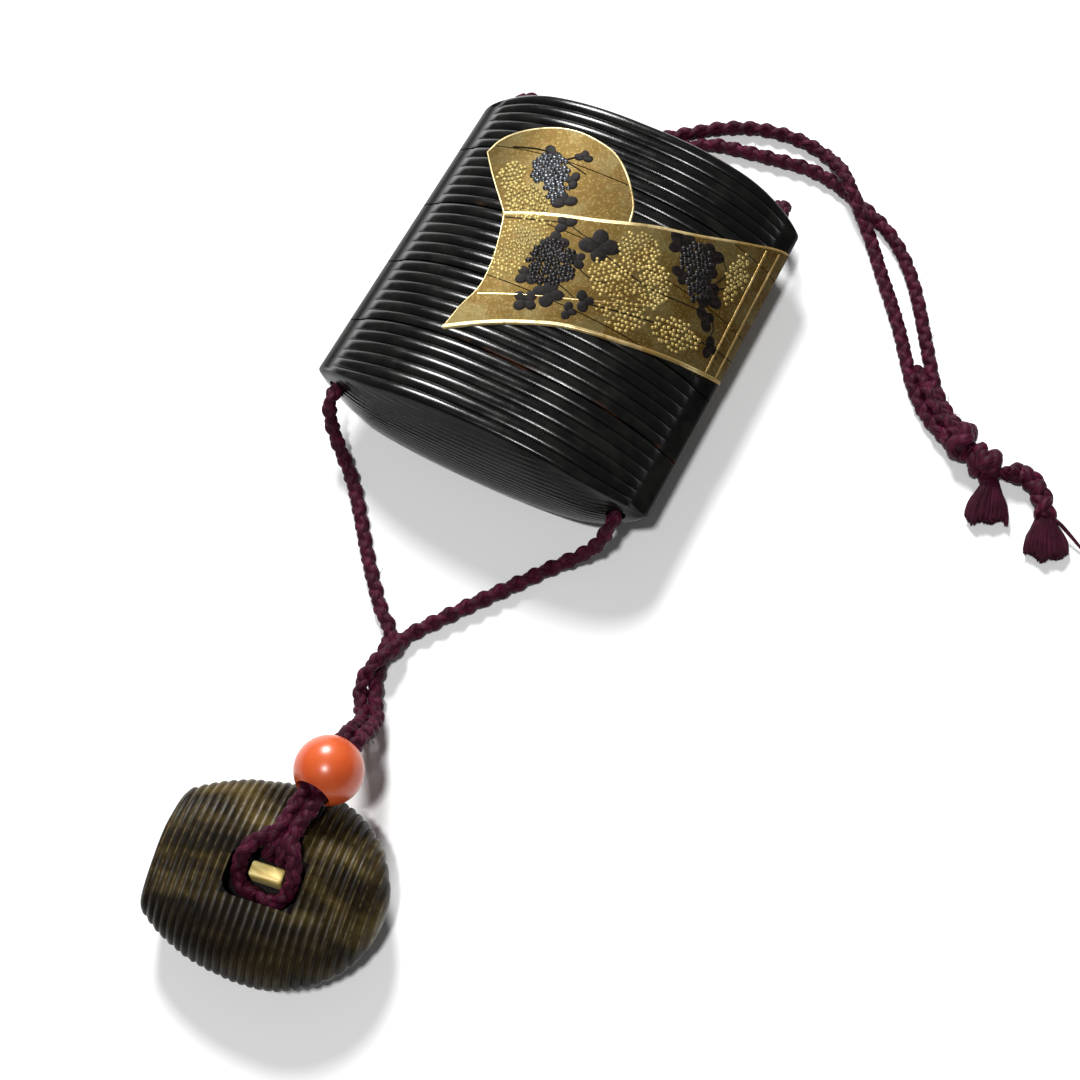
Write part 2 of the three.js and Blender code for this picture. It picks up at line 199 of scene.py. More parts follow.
# The lid's end has fine ribs. Its face is cut into cells to carry them.
FINE_RIB_PITCH = 1.1
FINE_RIB_DEPTH = 0.1
FINE_RIB_FADE = 8
CUTS_PER_FINE_RIB = 6
CUT_HALF_THICKNESS = 9.9
CUT_HALF_WIDTH = 28
CUT_PITCH = 2
GAP = 0.3
CAVITY = (22.6, 7.7)
RISER = (23.5, 8.6)
RECESS = (23.8, 8.9)
RISER_HEIGHT = 3.05
RECESS_DEPTH = 3.5
FLOOR = 1.6
OUTER_LENS = (0.833, 1.6)
INNER_LENS = (0.77, 1.33)
CHANNEL_X = 26.0
CHANNEL_RADIUS = 1.6
CHANNEL_SIDES = 40
DRILL_LENGTH = 4 * PIECE_HEIGHT * CASES
HALVINGS = 24

# The bead, the toggle and the free cords lie a little to one side of the inro
ASIDE = Vector((0.75, 0, 0))

# Bead, toggle and bar
BEAD_RADIUS = 5.35
BEAD_BORE = 2.9
BEAD_BORE_WAIST = 2.697
BEAD_LIP_SHARE = 0.9
BEAD_ARC_STEPS = 40
BEAD_STEPS = 72
BEAD_CENTRE = Vector((6.8, -46.6, 15.9))
BEAD_AXIS = Vector((-0.04, -1, 0.17))
TOGGLE_RADIUS = 15.8
TOGGLE_HALF_HEIGHT = 8.0
TOGGLE_ROUND_END = 16.4
TOGGLE_CUT_END = 19.2
TOGGLE_TAPER = 24.5
TOGGLE_RIBS = 26
TOGGLE_RIB_DEPTH = 0.42
TOGGLE_RIB_ROUNDNESS = 0.7
RINGS_PER_TOGGLE_RIB = 6
TOGGLE_CUT_FLAT = 4
TOGGLE_LEAST_RADIUS = 0.6
# Hand-cut unevenness: scale along the toggle, scale across it, height
TOGGLE_SWELL = (0.35, 0.2, 0.12)
TOGGLE_CHATTER = (2.1, 0.5, 0.06)
TOGGLE_SHRINK = 0.1
TOGGLE_STEPS = 150
TOGGLE_TURN = math.radians(9)
TOGGLE_CENTRE = Vector((7.5, -63.6, 7.5))
POCKET_SIZE = (11.6, 7.8)
POCKET_CORNER = 2.4
POCKET_CUT_HEIGHT = 12
POCKET_FLOOR = Vector((6.1, -65.0, 10.7))
BAR_SIZE = (5.2, 2.4, 3.9)
BAR_EDGE = 0.45
BAR_CENTRE = Vector((6.1, -64.1, 12.95))

# Cords
CORD_DIAMETER = 2.5
PAIR_OFFSET = 1.18
STRANDS = 4
BRAID_LAY = 6.2
STRAND_RADIUS = 0.76
BRAID_CORE = 0.38
BRAID_SWAY = 0.25
CORD_LOWEST_Z = 0.02
ROUTE_SPACING = 0.25
CURVE_STEPS = 40
NEARLY_PARALLEL = 0.95
CHANNEL_ROUTE_Y = (14.5, 30, 46, 62, 77.5)
# Hairs that have worked loose: how many, their thickness and how they lie
NECK_HAIRS = 10
TAIL_HAIRS = 26
HAIR_RADIUS = 0.045
HAIR_STEPS = 6
HAIR_REACH = (0.5, 1.5)
HAIR_START = 0.8
HAIR_SAG = 0.4
HAIR_LOWEST_Z = 0.1
NECK_LEFT = [
    (-26.75, 14.3, 10.35), (-26.7, 11.3, 10.2), (-25.7, 9.2, 7.6), (-23.5, 7.2, 4),
    (-20.9, 5.2, 1.9), (-18, 2.4, 1.3), (-14.3, -2, 1.3), (-10.2, -7.1, 1.3), (-6, -12, 1.3),
    (-2.8, -15.4, 1.3),
]
NECK_RIGHT = [
    (25.25, 14.3, 10.35), (25.25, 11.3, 10.2), (24.4, 9.2, 7), (21.9, 7.3, 3.4),
    (18.8, 4.6, 1.6),
    (15, -0.4, 1.3), (11, -5.8, 1.3), (7.8, -10.2, 1.3), (5, -14.2, 1.3),
]
# A pair point also has the angle, in degrees, by which the strands have turned about each other
PAIR = [
    (1.5, -18, 1.4, 0), (1.7, -21.2, 2.45, 50), (1.4, -24.6, 2.75, 100), (1.8, -28, 2.2, 150),
    (3.4, -30.9, 2.5, 180), (5, -33, 3.9, 180), (5.9, -34.9, 6.3, 180), (6.4, -36.6, 9.4, 180),
    (6.8, -38.6, 12.6, 180), (6.95, -41, 14.8, 180), (6.8, -46.6, 15.9, 180),
    (6.6, -51.6, 16.7, 180), (6.3, -55, 16.7, 180), (6.2, -58.2, 17, 180),
]
LOOP_SIDE = [
    (2.9, -60.6, 17.2), (4.1, -62.8, 16.2), (4.2, -65.2, 13.8), (3.1, -67, 12.5),
    (1.5, -67.4, 12.3), (0.15, -67.4, 12.3),
]
TAIL_LEFT = [
    (-26.75, 77.7, 10.35), (-26.7, 80.7, 10.2), (-25.2, 83.8, 7.6), (-21.5, 86, 4.2),
    (-16.5, 87, 1.8), (-10.5, 87.6, 1.3), (-4.5, 90, 1.3), (0.8, 94, 1.3), (6, 98, 1.3),
    (12.3, 101, 1.3), (20, 102, 1.3), (24.6, 101.2, 1.4), (27.5, 99.6, 2.4), (30.2, 97.2, 4),
    (33.2, 94, 4.3), (36.2, 91.2, 3.2), (39.6, 88.1, 1.6), (44.3, 82.2, 1.3),
    (48.3, 77.2, 1.3), (52.1, 72.2, 1.3), (55.5, 67.1, 1.3), (58.4, 63, 1.3),
    (61.8, 59.4, 1.4), (65.4, 56.7, 2), (68.15, 55.2, 2.8),
]
TAIL_RIGHT = [
    (25.25, 77.7, 10.35), (25.2, 80.7, 10.2), (23.8, 83.2, 6.4), (19.9, 84.8, 2.65),
    (14.4, 84.7, 1.4), (8, 84.2, 1.3), (1.8, 84, 1.3), (-1.3, 86.2, 1.3), (-0.6, 89, 1.3),
    (2.4, 91.4, 1.3), (6.3, 93.9, 1.3), (11.2, 95, 1.3), (18.4, 96.2, 1.3), (24, 96.8, 1.3),
    (29.4, 96.1, 1.3), (33, 94.8, 1.3), (37.4, 93, 1.3), (41.6, 91, 1.3), (44.9, 88.6, 1.3),
    (48.9, 84.5, 1.3), (52.6, 79.4, 1.3), (55.9, 74.1, 1.3), (59.1, 68.9, 1.3),
    (62.3, 64, 1.3), (66.3, 59.9, 1.9), (69.25, 57.8, 2.8),
]
LOOSE_END = [
    (79.3, 54.4, 1.6), (81.6, 55.3, 1.3), (84.2, 54.2, 1.3), (86.3, 51.9, 1.3),
    (87.6, 49.6, 1.3),
]
KNOT_START = Vector((69, 56.4, 2.85))
KNOT_AXIS = Vector((0.92, -0.39, 0)).normalized()
# Knot coils: start and reach along the knot, turns, radius, the turn they begin at, fullness
KNOT_COILS = [(-0.4, 2.8, 1.3, 1.6, 0.6, 1.6), (4.9, 2.9, 1.3, 1.3, 0.15, 1.5)]
COIL_STEPS = 20
COIL_EASING = 0.35
COIL_LOWEST_Z = 1.32
KNOT_CORES = [
    [(57.8, 66.6, 1.5), (60.2, 63.6, 2), (62.1, 61.6, 2.9), (64.4, 59.3, 2.9), (66.6, 57.9, 3.2),
     (69, 56.4, 3.4)],
    [(66.8, 55.9, 1.9), (68.6, 55.2, 2.4), (71.2, 55.6, 3), (74, 53.9, 2.9), (76.4, 52.9, 2.4),
     (78.2, 53.9, 2), (79.6, 54.6, 1.7)],
    [(68, 58.4, 1.9), (69.9, 57, 2.8), (72.4, 54.6, 2.9), (74.4, 53.6, 2.4), (76, 52, 1.8),
     (77.3, 51, 1.5)],
]
SHORT_TIP = (Vector((77.3, 51.1, 1.5)), Vector((0.26, -0.97, 0)).normalized())
LONG_TIP = (Vector((87.75, 49.25, 1.3)), Vector((0.4, -0.92, 0)).normalized())
TUFT_FIBRES = 420
TUFT_LENGTH = 7.6
TUFT_SPREAD = 3.7
TUFT_NECK = 1.1
TUFT_THICKNESS = 1.15
TUFT_START = 0.9
TUFT_THINNING = 0.25
TUFT_SAG = 0.25
TUFT_LEAN = 0.3
TUFT_LEAN_SCALE = 1.6
FAN_SPAN = (-0.1, 0.85)
CUT_SPAN = (-0.5, 0.15)
# The ragged cut at a tuft's end: how often it comes and goes across the tuft, and how far
RAGGED = ((3.1, 0.55), (7.3, 0.35))
FIBRE_STEPS = 7
FIBRE_RADIUS = 0.2
FIBRE_TAPER = 0.05
FIBRE_LOWEST_Z = 0.14
FIBRE_BEND = 0.12
FIBRE_WAVES = 2.6
LOOSE_THREAD = [
    (0.6, 0.6, 0.5), (2.4, 0.2, 0.5), (4.6, -0.7, 0.1), (6.8, -1.7, -0.4), (9.1, -2.8, -0.9),
]
LOOSE_THREAD_SPACING = 0.6
LOOSE_THREAD_RADIUS = 0.42
LOOSE_THREAD_TAPER = 0.2
LOOSE_END_FULLNESS = 1.45
LOOSE_END_LIFT = Vector((0, 0, 0.6))
# The short turns of cord between the two strands at the bar, spread out towards it
BINDING_SPREAD = 1.2
BINDING = [
    (6.8, -49.5, 15.3), (6.6, -53, 15.9), (6.3, -55.5, 15.9), (6.2, -58.2, 16.1),
    (6.15, -59.8, 16.4), (6.1, -61.2, 15.4), (6.1, -61.6, 13.6),
]

# Gold panel, laid out flat: S runs round the body from the front's middle line, V along Y
DISC_EDGE = [
    (-24.7, 64.3), (-23.5, 67.2), (-20.5, 69.5), (-16.3, 71.3), (-13.7, 72), (-9.9, 72.3),
    (-5.8, 71.7), (-2.4, 70.6), (0.7, 68.2), (3.4, 65), (5.2, 62), (6, 58.8),
]
DISC_LEFT = [(-14.2, 52), (-16.3, 54.4), (-20.6, 59.3), (-24.7, 64.3)]
DISC_UNDER_BAND = [(6, 56.4), (-14.2, 51.0)]
BAND_TOP = [
    (-14.2, 52), (-5.1, 55.1), (1.4, 57.1), (9.3, 60.2), (17.4, 63.2), (25.5, 67.5),
    (32.6, 71.5), (39, 73.2), (45, 73.6),
]
BAND_BOTTOM = [
    (45, 46.2), (39, 45), (33.9, 43.6), (28.6, 42), (21.2, 40), (14.5, 38.2), (9.5, 37.1),
    (4.6, 35.9), (-1.5, 33.4), (-7.3, 30.5), (-12.7, 27.4),
]
BAND_LEFT = [(-12.7, 27.4), (-12, 32.2), (-10.9, 36.6), (-11.2, 41.3), (-12.4, 46.5), (-14.2, 52)]
LOWER_FOLD = [(-10.5, 35.4), (-4.2, 38), (7.1, 42.4), (17.4, 47.5), (23.8, 50.6), (33, 53.6)]
SIDE_FOLDS = [[(28.9, 68.9), (29.3, 58), (29.8, 42.8)], [(31.4, 70.3), (31.6, 58), (32, 43.4)]]
DISC_LIFT = 0.08
BAND_LIFT = 0.16
DARK_LIFT = 0.19
# The folds: line, radius at its start and its end, height of the sheet that they lie on
FOLDS = [
    (DISC_EDGE, 0.24, 0.24, DISC_LIFT), (DISC_LEFT, 0.14, 0.14, DISC_LIFT),
    (BAND_TOP, 0.55, 0.36, BAND_LIFT), (BAND_BOTTOM, 0.34, 0.5, BAND_LIFT),
    (BAND_LEFT, 0.13, 0.13, BAND_LIFT), (LOWER_FOLD, 0.2, 0.1, BAND_LIFT),
    (SIDE_FOLDS[0], 0.26, 0.26, BAND_LIFT), (SIDE_FOLDS[1], 0.26, 0.26, BAND_LIFT),
]
FOLD_SUNK_SHARE = 0.65
PANEL_DEPTH = 0.75
PANEL_CELL = 0.7
PANEL_CELL_ALONG = 3
SEAM_HALF = 0.1
OUTLINE_STEPS = 3000
# Clusters of the vine: middle, half width, half height, lean in degrees
GOLD_CLUSTERS = [
    ((-12.2, 55.6), 4.6, 3.0, -20), ((-17.3, 60.0), 2.4, 2.6, 30), ((-9.0, 49.6), 4.0, 3.4, 35),
    ((-9.2, 43.4), 2.6, 3.8, 0), ((9.6, 54.8), 3.4, 3.6, 10), ((8.0, 47.6), 4.4, 3.2, -15),
    ((14.8, 49.8), 2.6, 4.2, 10), ((12.6, 42.4), 4.2, 2.6, 15), ((21.8, 44.6), 4.4, 2.6, 15),
    ((26.2, 60.4), 1.6, 5.0, 5),
]
DARK_CLUSTERS = [
    ((-2.2, 45.2), 3.9, 3.6, -15), ((-2.8, 48.4), 2.6, 1.8, 0), ((18.8, 58.4), 2.5, 3.4, 12),
    ((21.2, 54.6), 1.8, 2.6, 5),
]
SILVER_CLUSTERS = [((-11.4, 63.2), 3.4, 2.9, -25), ((-8.4, 59.6), 1.7, 2.4, 10)]
# Leaves of the vine: middle, radius, turn in degrees, number of lobes
LEAVES = [
    ((3.6, 52.5), 3.0, 20, 4), ((-3.3, 53.8), 1.8, 60, 3), ((-6.9, 67.6), 1.4, 10, 3),
    ((-6.2, 62.6), 1.5, 100, 3), ((-12.2, 66.6), 1.7, 150, 3), ((-5.7, 57.9), 1.9, 35, 3),
    ((-3.4, 49.8), 2.1, 200, 4), ((1.2, 48.2), 1.7, 330, 3), ((-4.6, 42.0), 1.9, 240, 4),
    ((0.2, 40.4), 2.4, 280, 4), ((-2.6, 37.4), 2.0, 250, 4), ((5.8, 41.6), 1.8, 300, 3),
    ((4.4, 38.8), 1.5, 280, 3), ((15.4, 60.2), 2.3, 150, 4), ((20.6, 61.0), 2.2, 30, 4),
    ((23.6, 54.6), 2.4, 350, 4), ((24.9, 50.4), 1.9, 320, 3), ((28.0, 46.8), 1.7, 280, 3),
    ((18.2, 55.4), 1.9, 190, 3), ((22.2, 57.6), 1.7, 80, 3),
]
STEMS = [
    [(-13.6, 51.3), (-8.4, 52.6), (-3.2, 54), (0.4, 53.2), (4, 52.9)],
    [(1, 48.4), (3.4, 46.6), (6.2, 46.2), (8.4, 47.2)],
    [(4.4, 51.6), (9, 50.4), (14.4, 49.6), (20.6, 50.6), (25.6, 51.9)],
    [(23, 55.8), (25.4, 57.6), (27.6, 61.4)], [(25.6, 51.9), (27.2, 50), (27.4, 48.6), (30.4, 46)],
    [(-0.6, 43), (2, 42.4), (4.6, 41.4)], [(-9.6, 66), (-7.8, 67.4), (-5.9, 68.3)],
    [(-20, 66), (-14, 66.6), (-8, 65.4), (-5, 64.6)], [(23, 55.8), (24.4, 60), (22.6, 62.2)],
    [(7, 41.6), (14.9, 43.7), (18.7, 44.7), (27.1, 46.8), (33.6, 48)],
]
STEM_SPACING = 0.5
STEM_RADIUS = 0.13
STEM_TAPER = 0.04
BERRY_PITCH = 0.8
BERRY_ROW_SHARE = 0.87
BERRY_JITTER = 0.2
BERRY_SIZES = (0.85, 1.12)
# A bunch's rows: least share of its width, share at its middle, and how much wider at its top
ROW_SHARES = (0.1, 1.05, 0.2)
PALE_BERRY_RADIUS = 0.37
DARK_BERRY_RADIUS = 0.52
BERRY_RISE = 0.18
LEAF_RISE = 0.06
LOBE_REACH = 0.56
LOBE_SIZES = (0.58, 0.52)
LOBE_SHAPE = (1.1, 0.9)

# Colours of the finishes, as linear red, green and blue. In a ramp, each follows its place.
LACQUER_BLACK = (0.0024, 0.0025, 0.0024)
LACQUER_HANDLED = (0.0068, 0.0072, 0.006)
LACQUER_RUBBED = (0.055, 0.019, 0.008)
GOLD_FLAKE = (0.9, 0.68, 0.3)
GOLD_HANDLED = (0.13, 0.115, 0.05)
GOLD_WORN = (0.1, 0.045, 0.014)
CORAL_DEEP = (0.47, 0.062, 0.011)
CORAL_PALE = (0.53, 0.092, 0.021)
CORAL_VEIN = (0.55, 0.05, 0.012)
HORN_BODY = [
    (0.36, (0.005, 0.0035, 0.0021)), (0.48, (0.011, 0.007, 0.0024)),
    (0.57, (0.028, 0.018, 0.0045)), (0.7, (0.058, 0.04, 0.011)),
]
# Tan of the toggle's rib crests: partly the horn's own colour, partly painted highlight where light catches them.
HORN_CREST_TAN_AND_HIGHLIGHT = [(0.32, (0.034, 0.025, 0.012)), (0.5, (0.088, 0.066, 0.029)), (0.7, (0.18, 0.14, 0.07))]
# Painted shade for the toggle's side turned from the light.
HORN_PAINTED_SHADE = (0.006, 0.0045, 0.0032)
# Painted shade inside the pocket round the bar.
POCKET_PAINTED_SHADE = (0.004, 0.003, 0.0025)
BONE_GRAIN = [(0.3, (0.5, 0.34, 0.09)), (0.5, (0.72, 0.56, 0.19)), (0.66, (0.85, 0.72, 0.34))]
SILK_SHEEN = (0.8, 0.2, 0.4, 1)
FLOOR_TONES = ((0.86, 0.86, 0.86), (0.88, 0.88, 0.88))
# The gloss of the lacquer: on the ends and the side strips, and how much more on the reeds
LACQUER_GLOSS = 0.12
REED_GLOSS = 0.18

# Camera, lights and floor
LOOK_AT = Vector((14.55, 8.9, -1.15))
VIEW_AZIMUTH = math.radians(27.88)
VIEW_ELEVATION = math.radians(64.56)
VIEW_ROLL = math.radians(-0.88)
VIEW_DISTANCE = 329.0
SENSOR_MM = 36.0
LENS_MM = 65.4
WORLD_STRENGTH = 0.13
FLOOR_HALF_SIZE = 3.0
FLOOR_DROP = 0.00005


# Small helpers

def signed_power(value, power):
    return math.copysign(abs(value) ** power, value)


def smoothstep(low, high, value):
    share = min(1.0, max(0.0, (value - low) / (high - low)))
    return share * share * (3 - 2 * share)


def place(name, bm, finish, slot, stands_for=(), sharp=40, shift=ASIDE):
    """Finishes a bmesh made in millimetres as a piece in metres that rides on the part."""
    bm.normal_update()
    for face in bm.faces:
        face.smooth = True
    for edge in bm.edges:
        edge.smooth = len(edge.link_faces) == 2 and edge.calc_face_angle(0) < math.radians(sharp)
    bm.transform(Matrix.Scale(MM, 4) @ Matrix.Translation(shift))
    mesh = bpy.data.meshes.new(name)
    bm.to_mesh(mesh)
    bm.free()
    mesh.materials.append(finish)
    piece = bpy.data.objects.new(name, mesh)
    bpy.context.scene.collection.objects.link(piece)
    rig.ride(piece, "root")
    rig.slot(piece, slot)
    if stands_for:
        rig.replaces(piece, *stands_for)
    return piece


def evaluated_bmesh(thing):
    """The shape of an object with its modifiers or bevel, as a new bmesh."""
    bpy.context.view_layer.update()
    graph = bpy.context.evaluated_depsgraph_get()
    mesh = bpy.data.meshes.new_from_object(thing.evaluated_get(graph))
    bm = bmesh.new()
    bm.from_mesh(mesh)
    bpy.data.meshes.remove(mesh)
    return bm


def loose_object(name, bm):
    mesh = bpy.data.meshes.new(name)
    bm.to_mesh(mesh)
    bm.free()
    thing = bpy.data.objects.new(name, mesh)
    bpy.context.scene.collection.objects.link(thing)
    return thing


def join(bm, other):
    """Adds a second bmesh's shape to the first one."""
    mesh = bpy.data.meshes.new("joined")
    other.to_mesh(mesh)
    other.free()
    bm.from_mesh(mesh)
    bpy.data.meshes.remove(mesh)


def cut_away(bm, cutter_bm):
    """The first closed shape with the second one taken out of it."""
    body = loose_object("body", bm)
    cutter = loose_object("cutter", cutter_bm)
    cut = body.modifiers.new("cut", "BOOLEAN")
    cut.operation = "DIFFERENCE"
    cut.solver = "EXACT"
    cut.object = cutter
    result = evaluated_bmesh(body)
    for thing in (body, cutter):
        bpy.data.meshes.remove(thing.data)
    return result


# Turned and pressed bodies

# One ring of a body: half its width and thickness, where it lies along the body, the powers that
# shape its section, the depth of its groove, and 1 where the side strips are sunk
Ring = namedtuple("Ring", "width thick at lens rib strip", defaults=(OUTER_LENS, 0.0, 0))


def pressed_turning(rings, steps, press):
    """Spins the rings' profile round, then presses each ring into its own section."""
    bm = bmesh.new()
    number = bm.verts.layers.int.new("ring")
    profile = []
    for index, ring in enumerate(rings):
        vert = bm.verts.new((ring.width, 0, ring.at))
        vert[number] = index
        profile.append(vert)
    edges = [bm.edges.new(pair) for pair in zip(profile, profile[1:])]
    bmesh.ops.spin(
        bm, geom=profile + edges, cent=(0, 0, 0), axis=(0, 0, 1), dvec=(0, 0, 0),
        angle=2 * math.pi, steps=steps, use_merge=True, use_duplicate=False,
    )
    bmesh.ops.remove_doubles(bm, verts=bm.verts[:], dist=MERGE_DISTANCE)
    for vert in bm.verts:
        ring = rings[vert[number]]
        angle = math.atan2(vert.co.y, vert.co.x) if ring.width > 0 else None
        vert.co = press(ring, angle)
    bmesh.ops.recalc_face_normals(bm, faces=bm.faces[:])
    return bm


def end_curve(x, at):
    """How far the ends of the inro curve in, along Y, towards the tips of the lens."""
    past = max(0.0, abs(x) - TIP_START) / (HALF_WIDTH - TIP_START)
    near_foot = max(0.0, 1 - (FOOT_Y - at) / TIP_REACH)
    near_lid = max(0.0, 1 - (at - LID_Y) / TIP_REACH)
    return TIP_DROP * past ** 2 * (near_lid - near_foot)


def lens_point(ring, angle):
    """A point of a lens section. The grooves cross the broad faces, and the strips along its
    two sides lie as low as the grooves."""
    if angle is None:
        return Vector((0, ring.at, CENTRE_Z))
    x = ring.width * signed_power(math.sin(angle), ring.lens[0])
    z = ring.thick * signed_power(math.cos(angle), ring.lens[1])
    reeded = 1 - smoothstep(SIDE_STRIP_X - RIB_RUN_OUT, SIDE_STRIP_X, abs(x))
    strip = RIB_DEPTH * (1 - smoothstep(SIDE_STRIP_X, HALF_WIDTH, abs(x))) * ring.strip
    z -= math.copysign(ring.rib * reeded + strip * (1 - reeded), z)
    shift = end_curve(x, ring.at) if ring.lens is OUTER_LENS else 0.0
    return Vector((x, ring.at + shift, max(z + CENTRE_Z, LIE_Z)))


def rib_cut(share):
    """Depth of the groove beside a rounded reed, at a share of the pitch."""
    return RIB_DEPTH * (1 - math.sin(math.pi * share) ** RIB_ROUNDNESS)


def outer_ring(at, cut=0.0):
    return Ring(HALF_WIDTH, HALF_THICKNESS, at, rib=cut, strip=1)


def inner_ring(section, at):
    return Ring(*section, at, INNER_LENS)


def middle(at):
    return Ring(0, 0, at)


def reeds(seam, towards_lid):
    """Rings of one piece's reeds, from its lower seam towards the lid."""
    rings = [outer_ring(seam + towards_lid * GAP / 2, RIB_DEPTH)]
    for rib in range(RIBS_PER_PIECE):
        for step in range(RINGS_PER_RIB + 1):
            even = step / RINGS_PER_RIB
            share = even - RING_CROWDING * math.sin(2 * math.pi * even)
            at = (rib + share) * RIB_PITCH
            if GAP / 2 < at < PIECE_HEIGHT - GAP / 2 and (step or not rib):
                rings.append(outer_ring(seam + towards_lid * at, rib_cut(share)))
    return rings


def end_edge(end, inwards):
    """Rings of the rounded edge, from the reeds out to the flat end."""
    rings = []
    for step in range(1, EDGE_STEPS + 1):
        turn = step / EDGE_STEPS * math.pi / 2
        share = 1 - math.cos(turn)
        width = HALF_WIDTH + (END_HALF_WIDTH - HALF_WIDTH) * share
        thick = HALF_THICKNESS + (END_HALF_THICKNESS - HALF_THICKNESS) * share
        rings.append(Ring(width, thick, end + inwards * EDGE_ROUNDING * (1 - math.sin(turn))))
    return rings


def riser_and_cavity(seam, floor_at):
    top = seam + GAP / 2
    return [
        inner_ring(RISER, top), inner_ring(RISER, top - RISER_HEIGHT),
        inner_ring(CAVITY, top - RISER_HEIGHT), inner_ring(CAVITY, floor_at), middle(floor_at),
    ]


def drilled(bm):
    """The body with its two cord channels cut through it."""
    for side in (-1, 1):
        drill = bmesh.new()
        bmesh.ops.create_cone(
            drill, cap_ends=True, segments=CHANNEL_SIDES, radius1=CHANNEL_RADIUS,
            radius2=CHANNEL_RADIUS, depth=DRILL_LENGTH,
        )
        bmesh.ops.rotate(drill, verts=drill.verts, matrix=Matrix.Rotation(math.pi / 2, 3, "X"))
        bmesh.ops.translate(drill, verts=drill.verts, vec=(side * CHANNEL_X, FOOT_Y, CENTRE_Z))
        bm = cut_away(bm, drill)
    return bm


def lens_share(x, z):
    """How far out of the middle a point of the end face lies, found by halving: 1 on its rim."""
    low, high = 1e-4, 1.5
    for _ in range(HALVINGS):
        share = (low + high) / 2
        reach = abs(x / (END_HALF_WIDTH * share)) ** (2 / OUTER_LENS[0])
        reach += abs(z / (END_HALF_THICKNESS * share)) ** (2 / OUTER_LENS[1])
        low, high = (share, high) if reach > 1 else (low, share)
    return share


def carve_lid_end(bm):
    """Closes the lid's end as a low dome with fine ribs that run across the width."""
    rim = [edge for edge in bm.edges if edge.is_boundary]
    cap = bmesh.ops.contextual_create(bm, geom=rim)["faces"]
    bm.normal_update()
    heights = np.arange(-CUT_HALF_THICKNESS, CUT_HALF_THICKNESS, FINE_RIB_PITCH / CUTS_PER_FINE_RIB)
    places = np.arange(-CUT_HALF_WIDTH, CUT_HALF_WIDTH + 0.1, CUT_PITCH)
    cuts = [(Vector((0, 0, CENTRE_Z + z)), Vector((0, 0, 1))) for z in heights]
    cuts += [(Vector((x, 0, 0)), Vector((1, 0, 0))) for x in places]
    parts = set(cap)
    for point, normal in cuts:
        geom = list(parts) + list({e for f in parts for e in f.edges})
        geom += list({v for f in parts for v in f.verts})
        cut = bmesh.ops.bisect_plane(
            bm, geom=geom, dist=MERGE_DISTANCE, plane_co=point, plane_no=normal,
        )
        parts = {item for item in cut["geom"] if isinstance(item, bmesh.types.BMFace)}
    inner = {v for f in parts for v in f.verts if all(g in parts for g in v.link_faces)}
    for vert in inner:
        x, z = vert.co.x, vert.co.z - CENTRE_Z
        share = lens_share(x, z)
        dome = LID_DOME * (1 - share ** DOME_POWER)
        wave = abs(math.sin(math.pi * z / FINE_RIB_PITCH))
        vert.co.y = LID_Y + end_curve(x, LID_Y) - dome
        vert.co.y += FINE_RIB_DEPTH * (1 - wave) * (1 - share ** FINE_RIB_FADE)


def turn_piece(rings, carve=None):
    bm = pressed_turning(rings, BODY_STEPS, lens_point)
    if carve:
        carve(bm)
    bmesh.ops.recalc_face_normals(bm, faces=bm.faces[:])
    return drilled(bm)


def place_case(node, bm, finish):
    place(f"{node}_reeded", bm, finish, "lacquer", [node], shift=Vector())


def make_inro(finish):
    lid_inside = LID_Y + LID_WALL
    lid = [middle(lid_inside), inner_ring(RECESS, lid_inside)]
    lid.append(inner_ring(RECESS, SEAMS[-1] - GAP / 2))
    lid += [ring for ring in reeds(SEAMS[-1], -1) if ring.at > LID_Y + EDGE_ROUNDING]
    lid += end_edge(LID_Y, 1)
    place_case("inro_lid", turn_piece(lid, carve_lid_end), finish)
    for number in range(1, CASES):
        lower = SEAMS[CASES - number - 1]
        upper = lower - PIECE_HEIGHT
        recess_at = lower - RECESS_DEPTH
        rings = [middle(recess_at), inner_ring(RECESS, recess_at)]
        rings.append(inner_ring(RECESS, lower - GAP / 2))
        rings += reeds(lower, -1) + [outer_ring(upper + GAP / 2, RIB_DEPTH)]
        rings += riser_and_cavity(upper, recess_at - FLOOR)
        place_case(f"inro_case_{number}", turn_piece(rings), finish)
    flat = Ring(END_HALF_WIDTH * FOOT_FLAT_SHARE, END_HALF_THICKNESS * FOOT_FLAT_SHARE, FOOT_Y)
    foot = [middle(FOOT_Y), flat] + end_edge(FOOT_Y, -1)[::-1]
    foot += [ring for ring in reeds(FOOT_Y, -1) if ring.at < FOOT_Y - EDGE_ROUNDING]
    foot += [outer_ring(SEAMS[0] + GAP / 2, RIB_DEPTH)]
    foot += riser_and_cavity(SEAMS[0], FOOT_Y - FLOOR)
    place_case("inro_case_4", turn_piece(foot), finish)


# Gold panel

def half_lens(share):
    """A point of half the body's outline, from the front's middle line to the back's."""
    x = HALF_WIDTH * signed_power(math.sin(math.pi * share), OUTER_LENS[0])
    return x, HALF_THICKNESS * signed_power(math.cos(math.pi * share), OUTER_LENS[1])


def body_tables():
    """Places and outward directions on half the body's outline, against the way round it."""
    x, z = np.array([half_lens(share) for share in np.linspace(0, 1, OUTLINE_STEPS + 1)]).T
    around = np.concatenate([[0], np.cumsum(np.hypot(np.diff(x), np.diff(z)))])
    slope_x, slope_z = np.gradient(x), np.gradient(z)
    size = np.hypot(slope_x, slope_z)
    return around, x, z, -slope_z / size, slope_x / size


BODY_TABLES = body_tables()


def wrap(bm):
    """Lays a flat relief in S, V and height on the body."""
    across, along, lift = np.array([vert.co for vert in bm.verts]).T
    around, *columns = BODY_TABLES
    x, z, out_x, out_z = (np.interp(np.abs(across), around, column) for column in columns)
    side = np.sign(across)
    places = zip(side * (x + lift * out_x), along, CENTRE_Z + z + lift * out_z)
    for vert, point in zip(bm.verts, places):
        vert.co = point


